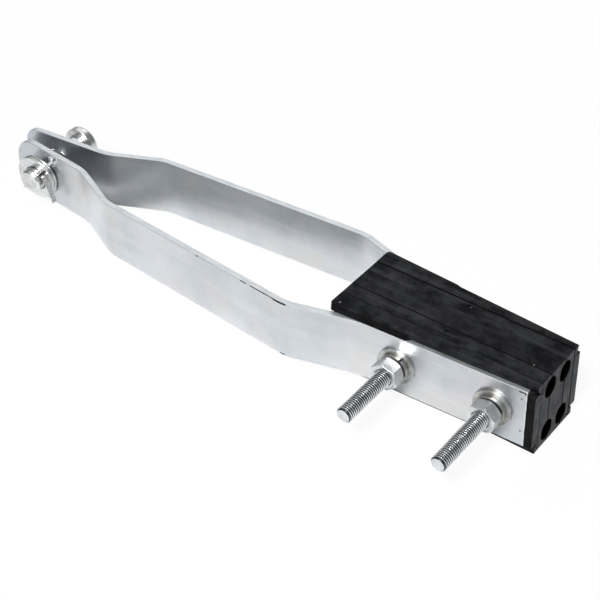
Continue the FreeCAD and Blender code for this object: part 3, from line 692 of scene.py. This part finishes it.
def make_spring_washer(row):
    """Ring with a slanting slit, clamped flat on the front washer."""
    ring = make_ring(f"{row}_spring_washer_ring", SPRING_RADIUS, WASHER_BORE, SPRING_THICK, SPRING_RIM)
    half, run = SLIT_HALF_WIDTH, SPRING_THICK * math.tan(SLIT_SLOPE)
    reach = SPRING_RADIUS + OVERCUT
    foot = [(-half - run, 0, -OVERCUT), (half - run, 0, -OVERCUT), (half - run, -reach, -OVERCUT),
            (-half - run, -reach, -OVERCUT)]
    crest = [(x + 2 * run, y, SPRING_THICK + OVERCUT) for x, y, _ in foot]
    combine(ring, prism("slit", foot, crest))
    shade(ring, limit=50)
    settle(ring, on_bar(BOLT_STATIONS[row], -1, WASHER_THICK) @ Matrix.Rotation(SLIT_TURNS[row], 4, "Z"))
    return ring


# Clevis pin group, made about Z towards the pin's head


def make_clevis_pin():
    """Pin with a chamfered tip, a round head and the split pin's hole."""
    crown = PIN_HEAD_SEAT + PIN_HEAD_HEIGHT
    profile = [(0, PIN_TIP)]
    profile += [(PIN_RADIUS + out, PIN_TIP + up) for out, up in PIN_TIP_EDGE]
    profile += [(PIN_RADIUS, PIN_HEAD_SEAT - PIN_FILLET), (PIN_RADIUS + PIN_FILLET, PIN_HEAD_SEAT),
                (PIN_HEAD_RADIUS - PIN_FILLET, PIN_HEAD_SEAT),
                (PIN_HEAD_RADIUS, PIN_HEAD_SEAT + PIN_FILLET)]
    for degrees in range(0, 91, 15):
        turn = math.radians(degrees)
        profile.append((PIN_HEAD_RADIUS - PIN_HEAD_ROUND + PIN_HEAD_ROUND * math.cos(turn),
                        crown - PIN_HEAD_ROUND + PIN_HEAD_ROUND * math.sin(turn)))
    profile.append((0, crown))
    pin = turned("clevis_pin_turned", profile, FINE_ROUND_STEPS)
    across = Vector((math.cos(SPLIT_PIN_TURN), -math.sin(SPLIT_PIN_TURN), 0)) * CROSS_TOOL_REACH
    middle = Vector((0, 0, SPLIT_PIN_PLACE))
    combine(pin, rod("cross_hole", WIRE_HOLE, middle - across, middle + across, SMALL_ROUND_STEPS))
    shade(pin, limit=30)
    settle(pin, ALONG_PIN)
    return pin


def make_split_pin():
    """One half-round wire: a straight leg, the eye, and back along the other leg, which bends away."""
    angles = [math.pi * step / WIRE_STEPS for step in range(WIRE_STEPS + 1)]
    section = [(SPLIT_PIN_TIP, LEG_GAP + WIRE_RADIUS * math.sin(angle), WIRE_RADIUS * math.cos(angle))
               for angle in angles]
    wire = outline("split_pin_wire", section)
    opening = math.acos(NECK_RADIUS / (NECK_RADIUS + EYE_RADIUS))
    path = [(SPLIT_PIN_TIP - SPLIT_PIN_ROOT, 0),
            (NECK_RADIUS, -opening), (EYE_RADIUS, math.pi + 2 * opening), (NECK_RADIUS, -opening),
            (PIN_RADIUS - SPLIT_PIN_ROOT, 0), (LEG_BEND_RADIUS, -LEG_BEND_TURN),
            (SPLIT_PIN_TIP - PIN_RADIUS - LEG_BEND_RADIUS * LEG_BEND_TURN, 0)]
    enter(wire, everything=True)
    follow((SPLIT_PIN_TIP, 0), math.pi, path, WIRE_BEND_STEP)
    leave()
    tidy_skin(wire)
    shade(wire, limit=50)
    place = ALONG_PIN @ Matrix.Translation((0, 0, SPLIT_PIN_PLACE))
    settle(wire, place @ Matrix.Rotation(-SPLIT_PIN_TURN, 4, "Z") @ Matrix.Rotation(math.pi, 4, "X"))
    return wire


# Material nodes


def node(tree, kind, inputs=None, **settings):
    """New shader node. An input is given as a number, a colour or another node's socket."""
    item = tree.nodes.new(kind)
    for name, setting in settings.items():
        setattr(item, name, setting)
    for name, source in (inputs or {}).items():
        if isinstance(source, bpy.types.NodeSocket):
            tree.links.new(source, item.inputs[name])
        else:
            item.inputs[name].default_value = source
    return item


def noise(tree, place, scale, detail, roughness=0.55):
    return node(tree, "ShaderNodeTexNoise", {"Vector": place, "Scale": scale, "Detail": detail,
                                             "Roughness": roughness}).outputs["Fac"]


def stretched_noise(tree, place, scales, detail, roughness=0.55):
    """Noise with a scale of its own along each axis."""
    place = node(tree, "ShaderNodeMapping", {"Vector": place, "Scale": scales}).outputs["Vector"]
    return noise(tree, place, scale=1.0, detail=detail, roughness=roughness)


def ramp(tree, factor, stops):
    """Colours between the stops, each a position and a colour. A new ramp has two stops already."""
    item = node(tree, "ShaderNodeValToRGB", {"Fac": factor})
    for element, (position, colour) in zip(item.color_ramp.elements, stops):
        element.position = position
        element.color = colour
    for position, colour in stops[2:]:
        item.color_ramp.elements.new(position).color = colour
    return item.outputs["Color"]


def mixed(tree, share, first, second):
    """Goes from the first colour to the second with the share. The sockets' numbers are the colour ones."""
    return node(tree, "ShaderNodeMix", {0: share, 6: first, 7: second}, data_type="RGBA").outputs[2]


def ranged(tree, source, span, result):
    """Carries a value's span over to the result's, and holds it there."""
    return node(tree, "ShaderNodeMapRange", {"Value": source, "From Min": span[0], "From Max": span[1],
                                             "To Min": result[0], "To Max": result[1]}).outputs["Result"]


def maths(tree, operation, first, second=0.0):
    return node(tree, "ShaderNodeMath", {0: first, 1: second}, operation=operation).outputs["Value"]


def product(tree, first, second):
    return maths(tree, "MULTIPLY", first, second)


def vectors(tree, operation, *sources):
    """Outputs of a Vector Math node."""
    return node(tree, "ShaderNodeVectorMath", dict(enumerate(sources)), operation=operation).outputs


def axes(tree, vector):
    """A vector's X, Y and Z."""
    return node(tree, "ShaderNodeSeparateXYZ", {"Vector": vector}).outputs


def object_normal(tree):
    return node(tree, "ShaderNodeTexCoord").outputs["Normal"]


def grey(level):
    return (level, level, level, 1.0)


def toned(colour, level):
    """The colour, lighter or darker by the level."""
    return tuple(part * level for part in colour[:3]) + (1,)


def bump(tree, shader, height, distance, strength):
    item = node(tree, "ShaderNodeBump", {"Height": height, "Distance": distance, "Strength": strength})
    tree.links.new(item.outputs["Normal"], shader.inputs["Normal"])


def new_material(name, metallic, specular=0.5):
    """Material, its tree, its shader and the place on the piece."""
    material = bpy.data.materials.new(name)
    material.use_nodes = True
    tree = material.node_tree
    shader = tree.nodes["Principled BSDF"]
    shader.inputs["Metallic"].default_value = metallic
    shader.inputs["Specular IOR Level"].default_value = specular
    place = node(tree, "ShaderNodeTexCoord").outputs["Object"]
    return material, tree, shader, place


def ragged(tree, place, size):
    """Coordinates that stray by up to the size, so that a mark gets an uneven outline."""
    stray = node(tree, "ShaderNodeTexNoise", {"Vector": place, "Scale": 900.0, "Detail": 3.0})
    centred = vectors(tree, "ADD", stray.outputs["Color"], (-0.5, -0.5, -0.5))["Vector"]
    scaled = node(tree, "ShaderNodeVectorMath", {0: centred, "Scale": 2 * size}, operation="SCALE")
    return vectors(tree, "ADD", place, scaled.outputs["Vector"])["Vector"]


def spot(tree, place, centre, radius):
    """1 in a ball round the centre, and fading to 0 at its radius."""
    distance = vectors(tree, "DISTANCE", place, centre)["Value"]
    return ranged(tree, distance, (radius * 0.5, radius), (1.0, 0.0))


def stretch_of(tree, coordinate, low, high):
    """1 between the two values of a coordinate and 0 outside."""
    return product(tree, maths(tree, "GREATER_THAN", coordinate, low),
                   maths(tree, "LESS_THAN", coordinate, high))


# Materials


def bar_zinc(name, dashes=(), specks=()):
    """Satin zinc on rolled flat bar: cloudy, faintly tinted, brighter and finely scored where sheared, with
    painted shade and a painted highlight on the arris.
    """
    material, tree, shader, place = new_material(name, metallic=1.0)
    cloud = noise(tree, place, scale=22.0, detail=5.0, roughness=0.6)
    colour = ramp(tree, cloud, [(0.36, ZINC_GREY), (0.64, ZINC_PALE)])
    tint = stretched_noise(tree, place, (14.0, 14.0, 30.0), detail=2.0)
    tinted = ranged(tree, noise(tree, place, scale=31.0, detail=3.0), (0.50, 0.66), (0.0, 0.6))
    colour = mixed(tree, tinted, colour, ramp(tree, tint, [(0.36, ZINC_ROSE), (0.64, ZINC_STRAW)]))
    streak = stretched_noise(tree, place, (14.0, 14.0, 170.0), detail=4.0)
    colour = mixed(tree, ranged(tree, streak, (0.5, 0.7), (0.0, 0.3)), colour, ZINC_STREAK)

    # Sheared edges, and the rounded arris between them and the rolled faces, where a painted shade line
    # turns into a painted highlight along X
    facing = axes(tree, object_normal(tree))
    steep = maths(tree, "ABSOLUTE", facing["Z"])
    sheared = ranged(tree, steep, (0.80, 0.97), (0.0, 1.0))
    torn = stretched_noise(tree, place, (90.0, 500.0, 500.0), detail=3.0, roughness=0.6)
    colour = mixed(tree, sheared, colour, ramp(tree, torn, [(0.35, SHEARED_GREY), (0.62, SHEARED_PALE)]))
    painted_arris = product(tree, ranged(tree, steep, (0.15, 0.35), (0.0, 0.8)),
                    ranged(tree, steep, (0.75, 0.9), (1.0, 0.0)))
    along = ranged(tree, axes(tree, place)["X"], ARRIS_CHANGE, (0.0, 1.0))
    colour = mixed(tree, painted_arris, colour, ramp(tree, along, [(0.0, ARRIS_PAINTED_SHADE), (1.0, ARRIS_PAINTED_HIGHLIGHT)]))

    # Dashes and specks, and the bright burr at the torn end
    strayed = ragged(tree, place, MARK_STRAY_ON_ZINC)
    parts = axes(tree, strayed)
    outside = product(tree, maths(tree, "LESS_THAN", facing["Y"], 0.1),
                      maths(tree, "LESS_THAN", steep, 0.97))
    for start, end, low, high in dashes:
        dash = product(tree, stretch_of(tree, parts["X"], start, end),
                       stretch_of(tree, parts["Z"], low, high))
        colour = mixed(tree, product(tree, dash, outside), colour, DASH_BLACK)
    for centre, radius, level in specks:
        colour = mixed(tree, spot(tree, strayed, centre, radius), colour, grey(level))
    burr = stretch_of(tree, parts["X"], BAR_END - BURR_WIDTH, BAR_END + BURR_PAST)
    colour = mixed(tree, product(tree, burr, 0.8), colour, BURR_BRIGHT)
    tree.links.new(colour, shader.inputs["Base Color"])

    grain = noise(tree, place, scale=1100.0, detail=3.0, roughness=0.6)
    dull = ranged(tree, cloud, (0.3, 0.7), (0.30, 0.38))
    dull = maths(tree, "ADD", dull, ranged(tree, grain, (0.3, 0.7), (-0.02, 0.02)))
    dull = maths(tree, "ADD", dull, product(tree, sheared, 0.22))
    tree.links.new(dull, shader.inputs["Roughness"])
    scores = stretched_noise(tree, place, (60.0, 420.0, 420.0), detail=3.0, roughness=0.6)
    height = maths(tree, "ADD", product(tree, grain, 0.06), product(tree, scores, sheared))
    bump(tree, shader, height, distance=0.00010, strength=0.35)
    return material


def fastener_zinc(name, warmth, dullness, level=1.0, brown=PATCH_BROWN, rim=0.0, station=None):
    """Bright zinc on turned and forged pieces: brownish in places, and duller by rim on the curved sides.

    With a bolt's station, painted shade darkens the thread between its crests."""
    material, tree, shader, place = new_material(name, metallic=1.0)
    cloud = noise(tree, place, scale=130.0, detail=4.0)
    colour = ramp(tree, cloud, [(0.35, toned(FASTENER_GREY, level)), (0.65, toned(FASTENER_PALE, level))])
    # Brown patches, which on the nuts and washers are partly painted reflection
    brown_patches = ranged(tree, noise(tree, place, scale=210.0, detail=3.0), (0.4, 0.65), (0.0, warmth))
    colour = mixed(tree, brown_patches, colour, brown)
    facing = maths(tree, "ABSOLUTE", axes(tree, object_normal(tree))["Y"])
    if station is not None:
        offset = vectors(tree, "ADD", place, (-station, 0.0, 0.0))["Vector"]
        section = vectors(tree, "MULTIPLY", offset, (1.0, 0.0, 1.0))["Vector"]
        radius = vectors(tree, "LENGTH", section)["Value"]
        # Painted shade between the thread's crests
        low_down = ranged(tree, radius, GROOVE_SPAN, (1.0, 0.0))
        groove_shade = product(tree, low_down, ranged(tree, facing, (0.93, 0.97), (1.0, 0.0)))
        colour = mixed(tree, product(tree, groove_shade, 0.95), colour, GROOVE_SHADE_DARK)
    tree.links.new(colour, shader.inputs["Base Color"])
    uneven = noise(tree, place, scale=420.0, detail=4.0)
    dull = ranged(tree, uneven, (0.3, 0.7), (dullness - 0.03, dullness + 0.05))
    dull = maths(tree, "ADD", dull, ranged(tree, facing, (0.5, 0.9), (rim, 0.0)))
    tree.links.new(dull, shader.inputs["Roughness"])
    grain = noise(tree, place, scale=700.0, detail=3.0, roughness=0.5)
    bump(tree, shader, grain, distance=0.00003, strength=0.25)
    return material


def block_rubber(name, seed, marks=(), level=1.0):
    """Dense black rubber out of a mould: matt, faintly mottled, with a few pits and a greyer cut end that
    is partly painted light.
    """
    material, tree, shader, true_place = new_material(name, metallic=0.0, specular=0.045)
    shifted = node(tree, "ShaderNodeMapping", {"Vector": true_place, "Location": (seed, 0.0, seed)})
    place = shifted.outputs["Vector"]
    cloud = noise(tree, place, scale=75.0, detail=8.0, roughness=0.72)
    colour = ramp(tree, cloud, [(0.42, toned(RUBBER_BLACK, level)), (0.64, toned(RUBBER_DARK, level))])
    streak = stretched_noise(tree, place, (25.0, 190.0, 190.0), detail=4.0)
    streaked = ranged(tree, streak, (0.52, 0.68), (0.0, 0.5))
    colour = mixed(tree, streaked, colour, toned(RUBBER_STREAK, level))

    # Cut ends, greyer and partly painted light from that side, a painted highlight on the arris round them,
    # and painted shade on the slabs' sides
    facing = axes(tree, vectors(tree, "ABSOLUTE", object_normal(tree))["Vector"])
    at_end = ranged(tree, facing["X"], (0.7, 0.95), (0.0, 1.0))
    cut_and_lit_end = ramp(tree, noise(tree, place, scale=160.0, detail=5.0, roughness=0.6),
               [(0.35, RUBBER_CUT_DARK), (0.7, RUBBER_CUT_PALE)])
    colour = mixed(tree, product(tree, at_end, 0.8), colour, cut_and_lit_end)
    # Painted highlight on the arris round the cut ends
    broadest = maths(tree, "MAXIMUM", maths(tree, "MAXIMUM", facing["X"], facing["Y"]), facing["Z"])
    painted_arris = product(tree, ranged(tree, broadest, (0.82, 0.95), (0.6, 0.0)),
                    ranged(tree, facing["X"], (0.2, 0.35), (0.0, 1.0)))
    colour = mixed(tree, painted_arris, colour, RUBBER_ARRIS_HIGHLIGHT)
    # Painted shade on the sides that face along Y
    colour = mixed(tree, ranged(tree, facing["Y"], (0.9, 0.99), (0.0, 0.75)), colour, RUBBER_SIDE_SHADE)

    # Painted shade along the seams and on the walls of the channels and holes, and the marks
    strayed = ragged(tree, true_place, MARK_STRAY_ON_RUBBER)
    across = axes(tree, strayed)["Y"]
    for seam, end_width, top_width in SEAM_SHADE_LINES:
        width = maths(tree, "ADD", product(tree, at_end, end_width - top_width), top_width)
        distance = maths(tree, "ABSOLUTE", maths(tree, "SUBTRACT", across, seam))
        colour = mixed(tree, maths(tree, "LESS_THAN", distance, width), colour, SEAM_SHADE_BLACK)
    parts = axes(tree, vectors(tree, "ABSOLUTE", true_place)["Vector"])
    shaded_within = product(tree, maths(tree, "LESS_THAN", parts["Z"], INSIDE_HALF_HEIGHT),
                     maths(tree, "LESS_THAN", parts["Y"], INSIDE_HALF_WIDTH))
    shaded_within = product(tree, shaded_within, maths(tree, "LESS_THAN", facing["X"], 0.5))
    colour = mixed(tree, shaded_within, colour, INSIDE_SHADE_BLACK)
    for centre, radius, mark_level, share in marks:
        mark = product(tree, spot(tree, strayed, centre, radius), share)
        colour = mixed(tree, mark, colour, grey(mark_level))
    tree.links.new(colour, shader.inputs["Base Color"])

    tree.links.new(ranged(tree, cloud, (0.3, 0.7), (0.60, 0.45)), shader.inputs["Roughness"])
    cells = node(tree, "ShaderNodeTexVoronoi", {"Vector": place, "Scale": 75.0, "Randomness": 1.0})
    pit = ranged(tree, cells.outputs["Distance"], (0.05, 0.13), (1.0, 0.0))
    grain = noise(tree, place, scale=700.0, detail=5.0, roughness=0.6)
    height = maths(tree, "SUBTRACT", product(tree, grain, 0.35), pit)
    bump(tree, shader, height, distance=0.00022, strength=0.7)
    return material


# Pieces


def finish(piece, material, body, slot, *nodes):
    """Gives a piece its material and its body, and hides the solids that it stands for. The slot is not
    used.
    """
    piece.data.materials.clear()
    piece.data.materials.append(material)
    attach(piece, body)
    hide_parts(*nodes)


rear_bar_finish = bar_zinc("zinc_on_rear_bar")
front_bar_finish = bar_zinc("zinc_on_front_bar", DARK_DASHES, BAR_SPECKS)
# The washers are darker and browner: partly their own colour, partly painted shade from the spring washer
# and painted brown reflection
nut_finish = fastener_zinc("zinc_on_nuts", warmth=0.12, dullness=0.31, level=0.9, rim=0.2)
washer_finish = fastener_zinc("zinc_on_washers", warmth=0.9, dullness=0.31, level=0.75,
                              brown=WASHER_PATCH_BROWN, rim=0.12)
pin_washer_finish = fastener_zinc("zinc_on_pin_washers", warmth=0.3, dullness=0.29)
pin_finish = fastener_zinc("zinc_on_pin", warmth=0.5, dullness=0.27)
rear_cheek_finish = block_rubber("rubber_of_rear_cheek", seed=0.3)
front_cheek_finish = block_rubber("rubber_of_front_cheek", seed=0.9, marks=FRONT_CHEEK_MARKS)
rear_jaw_finish = block_rubber("rubber_of_rear_jaw", seed=1.7, marks=REAR_JAW_MARKS)
front_jaw_finish = block_rubber("rubber_of_front_jaw", seed=2.6, marks=FRONT_JAW_MARKS)
insert_finish = block_rubber("rubber_of_insert", seed=3.5, marks=INSERT_MARKS, level=0.8)

rear_bar = make_bar("rear_bar")
front_bar = copied(rear_bar, "front_bar")
settle(front_bar, Matrix.Rotation(math.pi, 4, "X"))
finish(rear_bar, rear_bar_finish, "rear_half", "bar", "rear_strap")
finish(front_bar, front_bar_finish, "front_half", "bar", "front_strap")

rear_cheek = make_cheek("rear_cheek_rubber")
front_cheek = mirrored(rear_cheek, "front_cheek_rubber")
finish(rear_cheek, rear_cheek_finish, "rear_half", "block", "rear_cheek")
finish(front_cheek, front_cheek_finish, "front_half", "block", "front_cheek")
rear_jaw = make_slab("rear_jaw_rubber", INNER_SEAM + CLOSED_SEAM, OUTER_SEAM - OPEN_SEAM, (INNER_SEAM,))
front_jaw = mirrored(rear_jaw, "front_jaw_rubber")
settle(front_jaw, Matrix.Translation((0, FRONT_JAW_SHIFT, 0)))
finish(rear_jaw, rear_jaw_finish, "rear_half", "block", "rear_jaw")
finish(front_jaw, front_jaw_finish, "front_half", "block", "front_jaw")
insert = make_slab("centre_insert_rubber", OPEN_SEAM - INNER_SEAM, INNER_SEAM - CLOSED_SEAM,
                   (-INNER_SEAM, INNER_SEAM))
finish(insert, insert_finish, "insert", "block", "centre_insert")

for row, station in BOLT_STATIONS.items():
    bolt_finish = fastener_zinc(f"zinc_on_{row}_bolt", warmth=0.08, dullness=0.30, station=station)
    finish(make_bolt(row), bolt_finish, "rear_half", "fastener", f"{row}_bolt")
    finish(make_nut(row), nut_finish, f"{row}_nut_body", "fastener", f"{row}_nut")
    for where, side, body in (("rear", 1, "rear_half"), ("front", -1, f"{row}_washers")):
        washer = make_ring(f"{row}_{where}_washer_ring", WASHER_RADIUS, WASHER_BORE, WASHER_THICK)
        settle(washer, on_bar(station, side, 0))
        finish(washer, washer_finish, body, "fastener", f"{row}_{where}_washer")
    finish(make_spring_washer(row), washer_finish, f"{row}_washers", "fastener", f"{row}_spring_washer")

finish(make_clevis_pin(), pin_finish, "pin", "fastener", "clevis_pin")
for row, height in PIN_WASHER_PLACES.items():
    washer = make_ring(f"{row}_pin_washer_ring", PIN_WASHER_RADIUS, PIN_WASHER_BORE, PIN_WASHER_THICK,
                       PIN_WASHER_RIM, PIN_WASHER_RIM)
    # The rounded rim faces the pin's tip.
    turned_over = Matrix.Translation((0, 0, height + PIN_WASHER_THICK)) @ Matrix.Rotation(math.pi, 4, "X")
    settle(washer, ALONG_PIN @ turned_over)
    finish(washer, pin_washer_finish, "pin_washers", "fastener", f"{row}_pin_washer")
finish(make_split_pin(), pin_finish, "pin", "fastener", "split_pin")


# Studio


def white_share(tree, seen, mirrored_share):
    """How much of the plain white a ray meets: one share in the camera, another in gloss and glass."""
    rays = node(tree, "ShaderNodeLightPath").outputs
    bounced = maths(tree, "ADD", rays["Is Glossy Ray"], rays["Is Transmission Ray"])
    return maths(tree, "ADD", product(tree, rays["Is Camera Ray"], seen),
                 product(tree, bounced, mirrored_share))


def between(tree, share, first, second, output):
    """Sends a share of two shaders to the output."""
    both = node(tree, "ShaderNodeMixShader", {0: share, 1: first.outputs[0], 2: second.outputs[0]})
    node(tree, output, {"Surface": both.outputs[0]})


def add_floor():
    middle = (LIT_POINT[0], LIT_POINT[1], solid_low.z - FLOOR_GAP)
    bpy.ops.mesh.primitive_plane_add(size=FLOOR_SIZE, location=middle)
    floor = bpy.context.object
    floor.name = "floor"
    material = bpy.data.materials.new("white_floor")
    material.use_nodes = True
    tree = material.node_tree
    tree.nodes.clear()
    matt = node(tree, "ShaderNodeBsdfDiffuse", {"Color": grey(FLOOR_LEVEL)})
    white = node(tree, "ShaderNodeEmission", {"Color": grey(1.0), "Strength": 1.0})
    share = white_share(tree, FLOOR_WHITE_SEEN, FLOOR_WHITE_MIRRORED)
    between(tree, share, matt, white, "ShaderNodeOutputMaterial")
    floor.data.materials.append(material)


def add_light(name, place, size, power):
    lamp = bpy.data.lights.new(name, "AREA")
    lamp.shape = "RECTANGLE"
    lamp.size, lamp.size_y = size
    lamp.energy = power
    holder = bpy.data.objects.new(name, lamp)
    holder.location = place
    holder.rotation_euler = (Vector(LIT_POINT) - Vector(place)).to_track_quat("-Z", "Y").to_euler()
    bpy.context.scene.collection.objects.link(holder)


def add_world():
    """A dim room that is lighter overhead, and white where the camera looks."""
    world = bpy.data.worlds.new("studio")
    bpy.context.scene.world = world
    world.use_nodes = True
    tree = world.node_tree
    tree.nodes.clear()
    height = axes(tree, node(tree, "ShaderNodeTexCoord").outputs["Generated"])["Z"]
    soft = node(tree, "ShaderNodeBackground", {"Color": ramp(tree, height, ROOM_LEVELS), "Strength": 1.0})
    white = node(tree, "ShaderNodeBackground", {"Color": grey(1.0), "Strength": 1.0})
    share = white_share(tree, WORLD_WHITE_SEEN, WORLD_WHITE_MIRRORED)
    between(tree, share, soft, white, "ShaderNodeOutputWorld")


def add_camera():
    azimuth, elevation, roll = (math.radians(angle) for angle in CAMERA_ANGLES)
    back = Vector((math.sin(azimuth) * math.cos(elevation), -math.cos(azimuth) * math.cos(elevation),
                   math.sin(elevation)))
    level = Vector((math.cos(azimuth), math.sin(azimuth), 0))
    sunk = (-back).cross(level)
    right = level * math.cos(roll) + sunk * math.sin(roll)
    down = sunk * math.cos(roll) - level * math.sin(roll)
    camera = bpy.data.cameras.new("camera")
    camera.sensor_width = SENSOR_WIDTH
    camera.lens = FOCAL_PIXELS / FRAME_PIXELS * SENSOR_WIDTH
    camera.clip_start, camera.clip_end = CLIP_START, CLIP_END
    holder = bpy.data.objects.new("camera", camera)
    place = Vector(CAMERA_TARGET) - right * TARGET_ASIDE - down * TARGET_BELOW + back * TARGET_DISTANCE
    facing = Matrix((right, -down, back)).transposed().to_4x4()
    holder.matrix_world = Matrix.Translation(place) @ facing
    bpy.context.scene.collection.objects.link(holder)
    bpy.context.scene.camera = holder


add_floor()
for name, place, size, power in LIGHTS:
    add_light(name, place, size, power)
add_world()
add_camera()
bpy.context.scene.view_settings.view_transform = "Standard"
